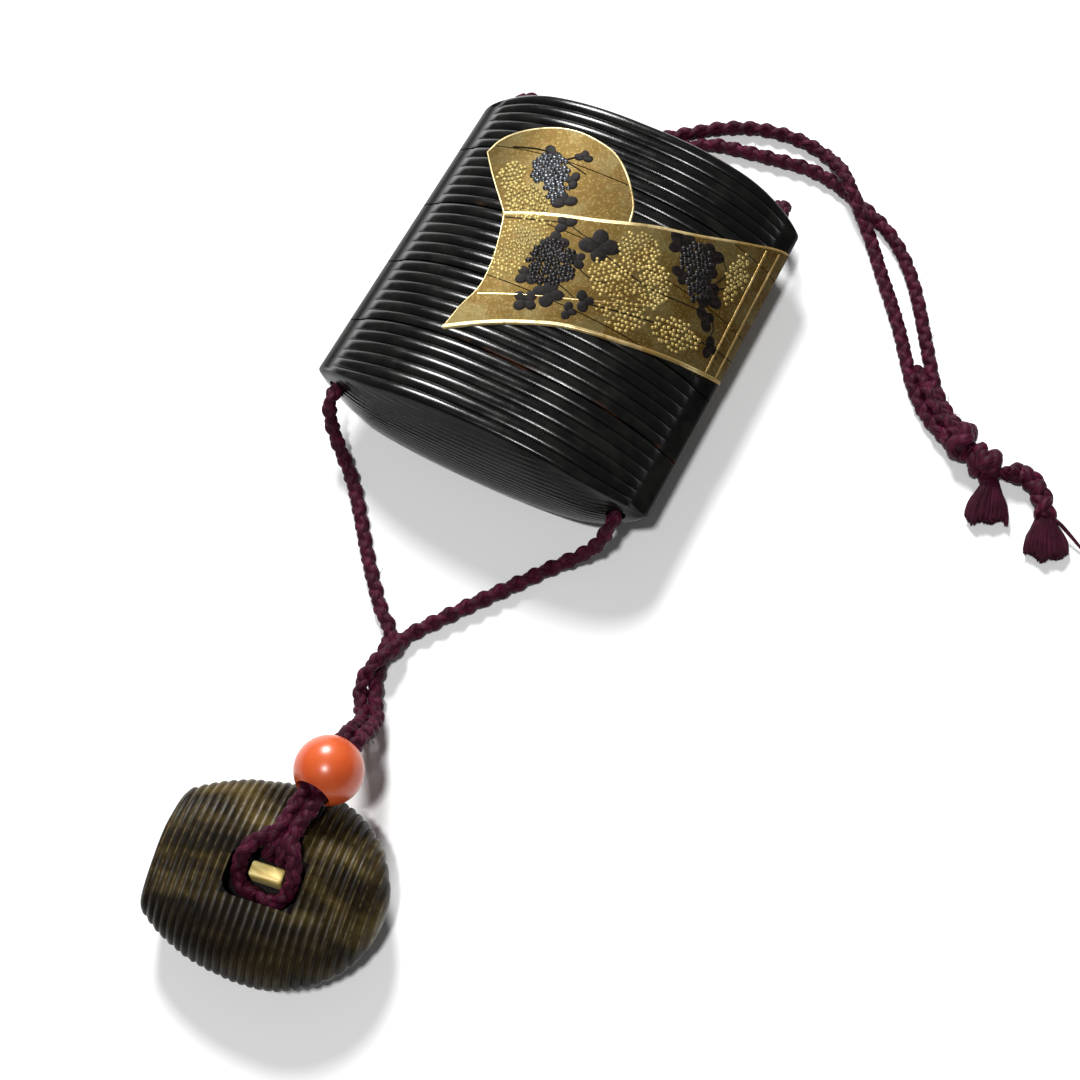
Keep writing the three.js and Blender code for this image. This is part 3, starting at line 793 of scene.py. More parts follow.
def smooth_line(points, spacing=PANEL_CELL):
    line, _ = routed([(s, v, 0) for s, v in points], spacing)
    return line


def slice_sheet(bm, point, normal, gap=0.0):
    """Cuts a flat sheet along a plane, and takes out a strip where a gap is given."""
    for offset in ((-gap, gap) if gap else (0,)):
        geom = bm.verts[:] + bm.edges[:] + bm.faces[:]
        at = Vector(point) + Vector(normal) * offset
        bmesh.ops.bisect_plane(bm, geom=geom, dist=MERGE_DISTANCE, plane_co=at, plane_no=normal)
    if gap:
        strip = [face for face in bm.faces
                 if abs((face.calc_center_median() - Vector(point)).dot(normal)) < gap]
        bmesh.ops.delete(bm, geom=strip, context="FACES")


def sheet(outline, lift):
    """A flat sheet inside an outline, cut small enough to bend, and thick to the grooves."""
    bm = bmesh.new()
    bm.faces.new([bm.verts.new((point.x, point.y, lift)) for point in outline])
    bm.normal_update()
    low, high = min(p.x for p in outline), max(p.x for p in outline)
    for s in np.arange(low + PANEL_CELL, high, PANEL_CELL):
        slice_sheet(bm, (s, 0, 0), (1, 0, 0))
    low, high = min(p.y for p in outline), max(p.y for p in outline)
    for v in np.arange(low + PANEL_CELL_ALONG, high, PANEL_CELL_ALONG):
        slice_sheet(bm, (0, v, 0), (0, 1, 0))
    for seam in SEAMS:
        slice_sheet(bm, (0, seam, 0), (0, 1, 0), SEAM_HALF)
    lower = bmesh.ops.extrude_face_region(bm, geom=bm.faces[:], use_keep_orig=True)["geom"]
    moved = [item for item in lower if isinstance(item, bmesh.types.BMVert)]
    bmesh.ops.translate(bm, verts=moved, vec=(0, 0, -PANEL_DEPTH))
    bmesh.ops.recalc_face_normals(bm, faces=bm.faces[:])
    return bm


def ridge(points, start, end, lift):
    """A half-sunk round ridge along a line of the panel."""
    sunk = Vector((0, 0, lift - FOLD_SUNK_SHARE * start))
    line = [point + sunk for point in smooth_line(points)]
    return tubes([line], lambda share: start + (end - start) * share, sides=10)


def cluster_places(cluster, dice):
    """Places of a cluster's berries, in rows that narrow towards its tip."""
    (s, v), half_width, half_height, lean = cluster
    least, usual, flare = ROW_SHARES
    turn = Matrix.Rotation(math.radians(lean), 2)
    rows = int(half_height / (BERRY_PITCH * BERRY_ROW_SHARE))
    for row in range(-rows, rows + 1):
        depth = row / max(rows, 1)
        reach = half_width * math.sqrt(max(least, 1 - depth ** 2)) * (usual + flare * depth)
        count = int(reach / BERRY_PITCH)
        for column in range(-count, count + 1):
            offset = Vector(((column + 0.5 * (row % 2)) * BERRY_PITCH, depth * half_height))
            offset += Vector([dice.uniform(-BERRY_JITTER, BERRY_JITTER) for _ in range(2)])
            yield Vector((s, v)) + turn @ offset


def berries(clusters, seed, lift, radius):
    """Small round berries of the given clusters."""
    dice = random.Random(seed)
    bm = bmesh.new()
    for cluster in clusters:
        bunch = bmesh.new()
        for point in cluster_places(cluster, dice):
            size = radius * dice.uniform(*BERRY_SIZES)
            place_at = Matrix.Translation((point.x, point.y, lift))
            shape = Matrix.Diagonal((size, size, BERRY_RISE, 1))
            bmesh.ops.create_uvsphere(
                bunch, u_segments=8, v_segments=4, radius=1, matrix=place_at @ shape,
            )
        join(bm, bunch)
    return bm


def leaf(bm, centre, radius, turn, lobes, lift):
    """A vine leaf of rounded lobes set round its stalk."""
    for lobe in range(lobes):
        angle = math.radians(turn) + 2 * math.pi * lobe / (lobes + (1 if lobes == 3 else 0))
        at = Vector(centre) + Vector((math.cos(angle), math.sin(angle))) * radius * LOBE_REACH
        long, wide = (radius * LOBE_SIZES[lobe % 2] * share for share in LOBE_SHAPE)
        shape = Matrix.Rotation(angle, 4, "Z") @ Matrix.Diagonal((long, wide, LEAF_RISE, 1))
        bmesh.ops.create_uvsphere(
            bm, u_segments=20, v_segments=6, radius=1,
            matrix=Matrix.Translation((*at, lift)) @ shape,
        )


def vine_leaves(lift):
    bm = bmesh.new()
    for centre, radius, turn, lobes in LEAVES:
        leaf(bm, centre, radius, turn, lobes, lift)
    raised = Vector((0, 0, lift))
    lines = [[point + raised for point in smooth_line(stem, STEM_SPACING)] for stem in STEMS]
    join(bm, tubes(lines, lambda share: STEM_RADIUS - STEM_TAPER * share, sides=6))
    return bm


def place_relief(name, bm, finish, sharp=50):
    wrap(bm)
    place(name, bm, finish, "lacquer", sharp=sharp, shift=Vector())


def make_panel(ground, edges, pale, dark, silver, vine):
    disc = smooth_line(DISC_EDGE) + [Vector((*point, 0)) for point in DISC_UNDER_BAND]
    disc += smooth_line(DISC_LEFT)[2:-1]
    band = smooth_line(BAND_TOP) + smooth_line(BAND_BOTTOM)[:-1] + smooth_line(BAND_LEFT)[:-1]
    panel = sheet(disc, DISC_LIFT)
    join(panel, sheet(band, BAND_LIFT))
    place_relief("gold_panel", panel, ground, sharp=35)
    folds = bmesh.new()
    for fold in FOLDS:
        join(folds, ridge(*fold))
    place_relief("gold_folds", folds, edges)
    bunches = (
        ("gold_berries", GOLD_CLUSTERS, 11, BAND_LIFT, PALE_BERRY_RADIUS, pale),
        ("dark_berries", DARK_CLUSTERS, 12, DARK_LIFT, DARK_BERRY_RADIUS, dark),
        ("silver_berries", SILVER_CLUSTERS, 13, DARK_LIFT, DARK_BERRY_RADIUS, silver),
    )
    for name, clusters, seed, lift, radius, finish in bunches:
        place_relief(name, berries(clusters, seed, lift, radius), finish)
    place_relief("dark_vine", vine_leaves(BAND_LIFT), vine)


# Bead, toggle and bar

def make_bead(finish):
    bm = bmesh.new()
    bore_end = math.asin(BEAD_BORE / BEAD_RADIUS)
    lip = BEAD_RADIUS * math.cos(bore_end) * BEAD_LIP_SHARE
    profile = [bm.verts.new((BEAD_BORE_WAIST, 0, -lip))]
    for step in range(BEAD_ARC_STEPS + 1):
        angle = math.pi - bore_end - step * (math.pi - 2 * bore_end) / BEAD_ARC_STEPS
        radius = BEAD_RADIUS * math.sin(angle)
        profile.append(bm.verts.new((radius, 0, BEAD_RADIUS * math.cos(angle))))
    profile.append(bm.verts.new((BEAD_BORE_WAIST, 0, lip)))
    edges = [bm.edges.new((a, b)) for a, b in zip(profile, profile[1:] + profile[:1])]
    bmesh.ops.spin(
        bm, geom=profile + edges, cent=(0, 0, 0), axis=(0, 0, 1), dvec=(0, 0, 0),
        angle=2 * math.pi, steps=BEAD_STEPS, use_merge=True, use_duplicate=False,
    )
    bmesh.ops.remove_doubles(bm, verts=bm.verts[:], dist=MERGE_DISTANCE)
    bmesh.ops.recalc_face_normals(bm, faces=bm.faces[:])
    turn = BEAD_AXIS.to_track_quat("Z", "Y").to_matrix().to_4x4()
    bm.transform(Matrix.Translation(BEAD_CENTRE) @ turn)
    place("coral_bead", bm, finish, "coral", ["ojime_bead"])


def toggle_outline(along):
    reach = TOGGLE_ROUND_END if along > 0 else TOGGLE_TAPER
    return TOGGLE_RADIUS * math.sqrt(max(0.0, 1 - (along / reach) ** 2))


def unevenness(at, y, z, kind):
    along, across, height = kind
    return noise.noise(Vector((at * along, y * across, z * across))) * height


def toggle_point(ring, angle):
    flattening = TOGGLE_HALF_HEIGHT / TOGGLE_RADIUS
    y = ring.width * math.sin(angle or 0)
    z = ring.width * flattening * math.cos(angle or 0)
    wobble = unevenness(ring.at, y, z, TOGGLE_SWELL)
    wobble += unevenness(ring.at, y, z, TOGGLE_CHATTER) * ring.rib
    point = Vector((ring.at, y, z)) * (1 + (wobble - TOGGLE_SHRINK) / TOGGLE_RADIUS)
    point = TOGGLE_CENTRE + Matrix.Rotation(TOGGLE_TURN, 3, "Z") @ point
    point.z = max(point.z, LIE_Z)
    return point


def make_toggle(finish):
    pitch = (TOGGLE_ROUND_END + TOGGLE_CUT_END) / TOGGLE_RIBS
    flat = Ring(TOGGLE_CUT_FLAT, TOGGLE_CUT_FLAT, -TOGGLE_CUT_END)
    rings = [Ring(0, 0, -TOGGLE_CUT_END), flat]
    for step in range(RINGS_PER_TOGGLE_RIB * TOGGLE_RIBS):
        along = -TOGGLE_CUT_END + step * pitch / RINGS_PER_TOGGLE_RIB
        height = abs(math.sin(math.pi * step / RINGS_PER_TOGGLE_RIB)) ** TOGGLE_RIB_ROUNDNESS
        radius = toggle_outline(along) - TOGGLE_RIB_DEPTH * (1 - height)
        if radius > TOGGLE_LEAST_RADIUS:
            rings.append(Ring(radius, radius, along, rib=height))
    rings.append(Ring(0, 0, TOGGLE_ROUND_END))
    bm = pressed_turning(rings, TOGGLE_STEPS, toggle_point)
    bm = cut_away(bm, pocket_cutter())
    place("ribbed_toggle", bm, finish, "dark_horn", ["netsuke"], sharp=50)


def rounded(bm, edges, radius, segments):
    bmesh.ops.bevel(
        bm, geom=edges, offset=radius, segments=segments, profile=0.5, affect="EDGES",
        offset_type="OFFSET", material=-1,
    )


def pocket_cutter():
    """An upright block with rounded corners, which stands on the pocket's floor."""
    block = bmesh.new()
    bmesh.ops.create_cube(block, size=1)
    size = Matrix.Diagonal((*POCKET_SIZE, POCKET_CUT_HEIGHT, 1))
    block.transform(size @ Matrix.Translation((0, 0, 0.5)))
    upright = [edge for edge in block.edges
               if abs(edge.verts[0].co.z - edge.verts[1].co.z) > POCKET_CUT_HEIGHT / 2]
    rounded(block, upright, POCKET_CORNER, 8)
    block.transform(Matrix.Translation(POCKET_FLOOR) @ Matrix.Rotation(TOGGLE_TURN, 4, "Z"))
    return block


def make_bar(finish):
    bm = bmesh.new()
    bmesh.ops.create_cube(bm, size=1)
    bm.transform(Matrix.Diagonal((*BAR_SIZE, 1)))
    rounded(bm, bm.edges[:], BAR_EDGE, 4)
    bm.transform(Matrix.Translation(BAR_CENTRE) @ Matrix.Rotation(TOGGLE_TURN, 4, "Z"))
    place("bone_bar", bm, finish, "pale_bone", ["netsuke_bar"], sharp=50)


# Cords

def routed(points, spacing=ROUTE_SPACING):
    """An even line of points on the smooth curve through a route's points."""
    route = [Vector(point) for point in points]
    route = [2 * route[0] - route[1]] + route + [2 * route[-1] - route[-2]]
    line = [route[1]]
    for a, b, c, d in zip(route, route[1:], route[2:], route[3:]):
        before, span, after = ((q - p).length ** 0.5 for p, q in ((a, b), (b, c), (c, d)))
        leave = ((b - a) / before - (c - a) / (before + span) + (c - b) / span) * span
        arrive = ((c - b) / span - (d - b) / (span + after) + (d - c) / after) * span
        for step in range(1, CURVE_STEPS + 1):
            t = step / CURVE_STEPS
            line.append(b * (2 * t ** 3 - 3 * t ** 2 + 1) + leave * (t ** 3 - 2 * t ** 2 + t)
                        + c * (3 * t ** 2 - 2 * t ** 3) + arrive * (t ** 3 - t ** 2))
    along = np.concatenate([[0], np.cumsum([(q - p).length for p, q in zip(line, line[1:])])])
    even = np.linspace(0, along[-1], max(4, round(along[-1] / spacing)))
    columns = [np.interp(even, along, [point[axis] for point in line]) for axis in range(3)]
    return [Vector(point) for point in zip(*columns)], float(along[-1])


def steady_frames(line):
    """Two cross directions for each point of a line, that don't twist about it."""
    frames = []
    across = Vector((0, 0, 1))
    for index in range(len(line)):
        along = (line[min(index + 1, len(line) - 1)] - line[max(index - 1, 0)]).normalized()
        if abs(along.dot(across)) > NEARLY_PARALLEL:
            across = Vector((1, 0, 0))
        across = (across - along * along.dot(across)).normalized()
        frames.append((across, along.cross(across)))
    return frames


def strand_lines(line, length, fullness):
    """Paths of the strands of a round braid, each over one neighbour and under the next."""
    frames = steady_frames(line)
    strands = []
    for strand in range(STRANDS):
        way = 1 if strand % 2 == 0 else -1
        start = math.pi * (strand // 2)
        path = []
        for index, (point, (across, upward)) in enumerate(zip(line, frames)):
            turn = 2 * math.pi * index / (len(line) - 1) * length / BRAID_LAY
            radius = fullness * (BRAID_CORE + way * BRAID_SWAY * math.cos(2 * turn))
            angle = way * turn + start
            path.append(point + (across * math.cos(angle) + upward * math.sin(angle)) * radius)
        strands.append(path)
    return strands


def tubes(paths, radius, sides=8):
    """Closed round tubes along paths. radius is one size, or a function of the share."""
    curve = bpy.data.curves.new("tubes", "CURVE")
    curve.dimensions = "3D"
    curve.bevel_depth = 1
    curve.bevel_resolution = (sides - 4) // 2
    curve.use_fill_caps = True
    for path in paths:
        spline = curve.splines.new("POLY")
        spline.points.add(len(path) - 1)
        for index, point in enumerate(path):
            spline.points[index].co = (*point, 1)
            share = index / (len(path) - 1)
            spline.points[index].radius = radius(share) if callable(radius) else radius
    thing = bpy.data.objects.new("tubes", curve)
    bpy.context.scene.collection.objects.link(thing)
    bm = evaluated_bmesh(thing)
    bpy.data.objects.remove(thing)
    bpy.data.curves.remove(curve)
    bmesh.ops.remove_doubles(bm, verts=bm.verts[:], dist=10 * MERGE_DISTANCE)
    return bm


def stretch_uv(bm, length):
    """Makes U run along the strands in millimetres. V goes once round each strand."""
    for layer in bm.loops.layers.uv.values():
        for face in bm.faces:
            for loop in face.loops:
                loop[layer].uv.x *= length


def stray_fibres(line, count, seed):
    """Paths of short fine hairs that have worked loose from a cord."""
    dice = random.Random(seed)
    hairs = []
    for _ in range(count):
        index = dice.randrange(3, len(line) - 3)
        along = (line[index + 1] - line[index - 1]).normalized()
        out = Vector((dice.uniform(-1, 1), dice.uniform(-1, 1), dice.uniform(0, 1)))
        out = (out - along * out.dot(along)).normalized()
        reach = dice.uniform(*HAIR_REACH)
        curl = dice.uniform(-1, 1)
        hair = []
        for step in range(HAIR_STEPS + 1):
            share = step / HAIR_STEPS
            point = line[index] + out * (HAIR_START + reach * share)
            point += along * curl * share ** 2 * reach
            point.z = max(point.z - HAIR_SAG * share * reach, HAIR_LOWEST_Z)
            hair.append(point)
        hairs.append(hair)
    return hairs


def braided(line, length, fullness):
    """The strands of a braid along a line, none of them lower than the surface it lies on."""
    bm = tubes(strand_lines(line, length, fullness), STRAND_RADIUS * fullness)
    for vert in bm.verts:
        vert.co.z = max(vert.co.z, CORD_LOWEST_Z)
    stretch_uv(bm, length)
    return bm


def braid(name, points, finish, stands_for=(), hairs=0, seed=0, shift=ASIDE, fullness=1.0):
    """A braided cord along a route, with its centreline and length in metres."""
    line, length = routed(points)
    bm = braided(line, length, fullness)
    if hairs:
        join(bm, tubes(stray_fibres(line, hairs, seed), HAIR_RADIUS, sides=4))
    piece = place(name, bm, finish, "silk_cord", stands_for, sharp=80, shift=shift)
    return piece, [(point + shift) * MM for point in line], length * MM


def pair_strand(side):
    """Points of one strand of the twisted pair: side is -1 for the left hole's strand."""
    points = []
    for index, (x, y, z, turn) in enumerate(PAIR):
        before, after = PAIR[max(index - 1, 0)], PAIR[min(index + 1, len(PAIR) - 1)]
        along = Vector((after[0] - before[0], after[1] - before[1])).normalized()
        across = side * PAIR_OFFSET * math.cos(math.radians(turn))
        lift = side * PAIR_OFFSET * math.sin(math.radians(turn))
        points.append((x - along.y * across, y + along.x * across, z + lift))
    return points


def loop_strand(side):
    return [(BAR_CENTRE.x - side * x, y, z) for x, y, z in LOOP_SIDE]


def knot_coil(start, reach, turns, radius, begin, fullness):
    """Points of a turn or two of cord pulled tight round the tails."""
    upward = Vector((0, 0, 1))
    across = upward.cross(KNOT_AXIS)
    points = []
    for step in range(COIL_STEPS + 1):
        share = step / COIL_STEPS
        turn = 2 * math.pi * (begin + turns * share)
        out = radius * (1 - COIL_EASING * (2 * share - 1) ** 4)
        point = KNOT_START + KNOT_AXIS * (start + reach * share)
        point += (across * math.cos(turn) + upward * math.sin(turn)) * out
        point.z = max(point.z, COIL_LOWEST_Z * fullness)
        points.append(point)
    return points


def tied_knot(finish):
    """The tails' last stretch, with the coils pulled tight round it."""
    bm = bmesh.new()
    cords = [(knot_coil(*coil), coil[-1]) for coil in KNOT_COILS]
    cords += [(core, 1.0) for core in KNOT_CORES]
    for points, fullness in cords:
        join(bm, braided(*routed(points), fullness))
    return place("tied_knot", bm, finish, "silk_cord", ["cord_knot"], sharp=80)


def tuft(name, tip, stands_for, finish, seed, loose_thread=None):
    """A frayed cord end: many fine fibres that fan out flat and end at a ragged cut."""
    at, towards = tip
    side = Vector((0, 0, 1)).cross(towards)
    dice = random.Random(seed)
    fibres = []
    for _ in range(TUFT_FIBRES):
        angle = dice.uniform(0, 2 * math.pi)
        out = math.sqrt(dice.random())
        across, upward = out * math.cos(angle), out * math.sin(angle)
        ragged = [far * math.sin(across * often + (number + 1) * seed)
                  for number, (often, far) in enumerate(RAGGED)]
        reach = TUFT_LENGTH + sum(ragged) + dice.uniform(*CUT_SPAN)
        lean = TUFT_LEAN * noise.noise(Vector((across * TUFT_LEAN_SCALE, seed, 0)))
        bend = dice.uniform(-FIBRE_BEND, FIBRE_BEND)
        fibre = []
        for step in range(FIBRE_STEPS + 1):
            share = step / FIBRE_STEPS
            fan = TUFT_NECK + (TUFT_SPREAD - TUFT_NECK) * smoothstep(*FAN_SPAN, share)
            thick = TUFT_THICKNESS - TUFT_THINNING * share
            offset = across * fan + lean * share
            offset += bend * math.sin(FIBRE_WAVES * share * math.pi + angle)
            height = max(upward * thick, FIBRE_LOWEST_Z - at.z + 0.1 * out)
            fibre.append(at + towards * (reach * share - TUFT_START) + side * offset
                         + Vector((0, 0, height - TUFT_SAG * share)))
        for point in fibre:
            point.z = max(point.z, FIBRE_LOWEST_Z)
        fibres.append(fibre)
    bm = tubes(fibres, lambda share: FIBRE_RADIUS - FIBRE_TAPER * share, sides=4)
    if loose_thread:
        join(bm, tubes(
            [loose_thread], lambda share: LOOSE_THREAD_RADIUS - LOOSE_THREAD_TAPER * share,
        ))
    return place(name, bm, finish, "silk_cord", stands_for, sharp=80)


def make_cords(silk, fray):
    for label, side, neck in (("left", -1, NECK_LEFT), ("right", 1, NECK_RIGHT)):
        route = neck + pair_strand(side) + loop_strand(side)
        piece, line, length = braid(
            f"neck_braid_{label}", route, silk, [f"neck_cord_{label}"], hairs=NECK_HAIRS,
            seed=side + 5,
        )
        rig.cord(
            piece, exit=line[0], length=length, diameter=CORD_DIAMETER * MM, far_end="object",
            stiffness="limp", lay="loose", path=line,
        )
        hidden = [(side * CHANNEL_X, y, CENTRE_Z) for y in CHANNEL_ROUTE_Y]
        braid(
            f"channel_braid_{label}", hidden, silk, [f"channel_cord_{label}"], shift=Vector(),
        )
    knot = tied_knot(silk)
    end, _, _ = braid(
        "loose_end", LOOSE_END, silk, ["cord_end"], shift=ASIDE + LOOSE_END_LIFT,
        fullness=LOOSE_END_FULLNESS,
    )
    for label, side in (("left", -1), ("right", 1)):
        spread = [side * BINDING_SPREAD * step / (len(BINDING) - 1) for step in range(len(BINDING))]
        route = [(x + aside, y, z) for aside, (x, y, z) in zip(spread, BINDING)]
        braid(f"binding_{label}", route, silk)
    thread = [LONG_TIP[0] + Vector(offset) for offset in LOOSE_THREAD]
    thread, _ = routed(thread, LOOSE_THREAD_SPACING)
    short = tuft("frayed_short", SHORT_TIP, ["frayed_tip_short"], fray, 3)
    long = tuft("frayed_long", LONG_TIP, ["frayed_tip_long"], fray, 8, thread)
    for label, tail, pieces in (
        ("left", TAIL_LEFT, [knot, end, long]), ("right", TAIL_RIGHT, [short]),
    ):
        piece, line, length = braid(
            f"tail_braid_{label}", tail, silk, [f"tail_cord_{label}"], hairs=TAIL_HAIRS,
            seed=len(tail),
        )
        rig.cord(
            piece, exit=line[0], length=length, diameter=CORD_DIAMETER * MM, far_end="knot",
            stiffness="limp", lay="loose", path=line, with_pieces=pieces,
        )


# Finishes

def add(tree, kind, inputs=None, **settings):
    """Adds a node. An input is given as a plain value or as another node's output."""
    node = tree.nodes.new(kind)
    for name, value in settings.items():
        setattr(node, name, value)
    for socket, value in (inputs or {}).items():
        if isinstance(value, bpy.types.NodeSocket):
            tree.links.new(value, node.inputs[socket])
        else:
            node.inputs[socket].default_value = value
    return node


def new_finish(name, **sockets):
    """A material with its shader. The named sockets get plain values."""
    material = bpy.data.materials.new(name)
    material.use_nodes = True
    tree = material.node_tree
    tree.nodes.clear()
    inputs = {socket.replace("_", " "): value for socket, value in sockets.items()}
    shader = add(tree, "ShaderNodeBsdfPrincipled", inputs)
    output = add(tree, "ShaderNodeOutputMaterial")
    tree.links.new(shader.outputs[0], output.inputs["Surface"])
    place_at = add(tree, "ShaderNodeTexCoord").outputs["Object"]
    millimetres = add(tree, "ShaderNodeVectorMath", {0: place_at, 3: 1 / MM}, operation="SCALE")
    return material, tree, shader, millimetres.outputs[0]


def ramp(tree, factor, stops):
    """A colour ramp. Each stop is a place and a colour."""
    node = add(tree, "ShaderNodeValToRGB", {"Fac": factor})
    elements = node.color_ramp.elements
    while len(elements) < len(stops):
        elements.new(0.5)
    for element, (at, colour) in zip(elements, stops):
        element.position = at
        element.color = (*colour, 1)
    return node.outputs["Color"]


def math_node(tree, operation, first, second=0.0):
    return add(tree, "ShaderNodeMath", {0: first, 1: second}, operation=operation).outputs[0]


def noise_at(tree, place_at, scale, detail=3.0, stretch=None):
    """A noise over a place in mm, at most 1. stretch scales the place along each axis."""
    if stretch:
        scaled = add(tree, "ShaderNodeVectorMath", {0: place_at, 1: stretch}, operation="MULTIPLY")
        place_at = scaled.outputs[0]
    node = add(tree, "ShaderNodeTexNoise", {"Vector": place_at, "Scale": scale, "Detail": detail})
    return node.outputs[0]


def mixed(tree, share, first, second):
    """A colour between two others."""
    node = add(tree, "ShaderNodeMix", data_type="RGBA")
    sockets = {"Factor": share, "A": first, "B": second}
    for socket in node.inputs:
        if not socket.enabled or socket.name not in sockets:
            continue
        value = sockets[socket.name]
        if isinstance(value, bpy.types.NodeSocket):
            tree.links.new(value, socket)
        else:
            socket.default_value = (*value, 1) if isinstance(value, tuple) else value
    return next(socket for socket in node.outputs if socket.enabled)


def mask(tree, value, low, high):
    """Eases from 0 at the low value to 1 at the high one. Either may be the larger."""
    node = add(
        tree, "ShaderNodeMapRange", {"Value": value, "From Min": low, "From Max": high},
        interpolation_type="SMOOTHSTEP",
    )
    return node.outputs[0]


def make_handled_surface():
    """Smudges of handling and a very fine unevenness, shared by the hard finishes."""
    group = bpy.data.node_groups.new("handled_surface", "ShaderNodeTree")
    group.interface.new_socket(name="Place", in_out="INPUT", socket_type="NodeSocketVector")
    group.interface.new_socket(name="Smudge", in_out="OUTPUT", socket_type="NodeSocketFloat")
    group.interface.new_socket(name="Normal", in_out="OUTPUT", socket_type="NodeSocketVector")
    place_at = add(group, "NodeGroupInput").outputs["Place"]
    smudge = mask(group, noise_at(group, place_at, 0.22, 6), 0.42, 0.68)
    fine = math_node(group, "ADD", noise_at(group, place_at, 0.7, 2), noise_at(group, place_at, 6, 4))
    bump = add(group, "ShaderNodeBump", {"Height": fine, "Strength": 0.25, "Distance": 0.00004})
    leave = add(group, "NodeGroupOutput")
    group.links.new(smudge, leave.inputs["Smudge"])
    group.links.new(bump.outputs[0], leave.inputs["Normal"])
    return group


def handled(tree, place_at, group):
    node = add(tree, "ShaderNodeGroup", {"Place": place_at}, node_tree=group)
    return node.outputs["Smudge"], node.outputs["Normal"]


def link(tree, shader, **outputs):
    for name, output in outputs.items():
        tree.links.new(output, shader.inputs[name.replace("_", " ")])


def lacquer_finish(group):
    """Deep black lacquer, rubbed through to red-brown near the rims and seams."""
    material, tree, shader, place_at = new_finish("black_lacquer")
    smudge, normal = handled(tree, place_at, group)
    parts = add(tree, "ShaderNodeSeparateXYZ", {0: place_at})
    y = parts.outputs["Y"]
    from_seam = math_node(tree, "PINGPONG", math_node(tree, "SUBTRACT", FOOT_Y, y), PIECE_HEIGHT)
    near_seam = mask(tree, from_seam, 0.9, 0.1)
    rubbed = mask(tree, noise_at(tree, place_at, 0.35, 5, (0.5, 2, 1)), 0.56, 0.7)
    off_foot = mask(tree, y, FOOT_Y - 0.1, FOOT_Y - 0.6)
    off_ends = math_node(tree, "MULTIPLY", off_foot, mask(tree, y, LID_Y, LID_Y + 0.5))
    worn = math_node(tree, "MULTIPLY", math_node(tree, "MULTIPLY", near_seam, rubbed), off_ends)
    black = mixed(tree, smudge, LACQUER_BLACK, LACQUER_HANDLED)
    colour = mixed(tree, worn, black, LACQUER_RUBBED)
    roughness = mask(tree, noise_at(tree, place_at, 0.5, 5), -1.1, 4.4)
    from_middle = math_node(tree, "ABSOLUTE", parts.outputs["X"])
    off_sides = mask(tree, from_middle, SIDE_STRIP_X + 0.9, SIDE_STRIP_X - 0.9)
    glossy = math_node(tree, "MULTIPLY", off_ends, off_sides)
    gloss = math_node(tree, "MULTIPLY", glossy, REED_GLOSS)
    gloss = math_node(tree, "ADD", gloss, LACQUER_GLOSS)
    link(
        tree, shader, Base_Color=colour, Normal=normal, Roughness=roughness,
        Specular_IOR_Level=gloss,
    )
    return material


def gold_finish(name, group, bright, deep, flakes, metallic, roughness):
    """Gold lacquer: powdered gold laid on in drifts, deepening towards +X with painted shade, with coarse flakes and
    brown worn places.
    """
    material, tree, shader, place_at = new_finish(
        name, Metallic=metallic, Roughness=roughness, Specular_IOR_Level=0.08,
    )
    smudge, normal = handled(tree, place_at, group)
    x = add(tree, "ShaderNodeSeparateXYZ", {0: place_at}).outputs["X"]
    # Painted shade: the gold deepens steadily towards +X, the side turned from the light, and random noise adds drifts
    # on top.
    drift_and_side_shade = math_node(tree, "MULTIPLY", x, 0.007)
    drift_and_side_shade = math_node(tree, "ADD", noise_at(tree, place_at, 0.16, 4), drift_and_side_shade)
    powder_and_side_shade = mixed(tree, mask(tree, drift_and_side_shade, 0.36, 0.72), bright, deep)
    flake = add(tree, "ShaderNodeTexVoronoi", {"Vector": place_at, "Scale": 3.4}, feature="F1")
    spots = math_node(tree, "MULTIPLY", mask(tree, flake.outputs["Color"], 0.62, 0.8), flakes)
    colour = mixed(tree, spots, powder_and_side_shade, GOLD_FLAKE)
    colour = mixed(tree, math_node(tree, "MULTIPLY", smudge, 0.4), colour, GOLD_HANDLED)
    worn = mask(tree, noise_at(tree, place_at, 0.55, 6), 0.6, 0.74)
    colour = mixed(tree, math_node(tree, "MULTIPLY", worn, 0.6), colour, GOLD_WORN)
    link(tree, shader, Base_Color=colour, Normal=normal)
    return material


def vine_finish(name, group, low, high, **sockets):
    """Dark or silvery lacquer of the vine, mottled between two tones."""
    material, tree, shader, place_at = new_finish(name, **sockets)
    _, normal = handled(tree, place_at, group)
    tone = mask(tree, noise_at(tree, place_at, 1.3, 4), 0.35, 0.7)
    link(tree, shader, Base_Color=mixed(tree, tone, low, high), Normal=normal)
    return material


def coral_finish(group):
    material, tree, shader, place_at = new_finish(
        "polished_coral", Roughness=0.3, Subsurface_Weight=0.1, Subsurface_Scale=0.001,
        Coat_Weight=0.06, Coat_Roughness=0.2,
    )
    _, normal = handled(tree, place_at, group)
    cloud = mask(tree, noise_at(tree, place_at, 0.28, 4, (1, 0.5, 1)), 0.3, 0.75)
    colour = mixed(tree, cloud, CORAL_DEEP, CORAL_PALE)
    grain = mask(tree, noise_at(tree, place_at, 2.2, 5), 0.66, 0.74)
    colour = mixed(tree, math_node(tree, "MULTIPLY", grain, 0.35), colour, CORAL_VEIN)
    link(tree, shader, Base_Color=colour, Normal=normal)
    return material


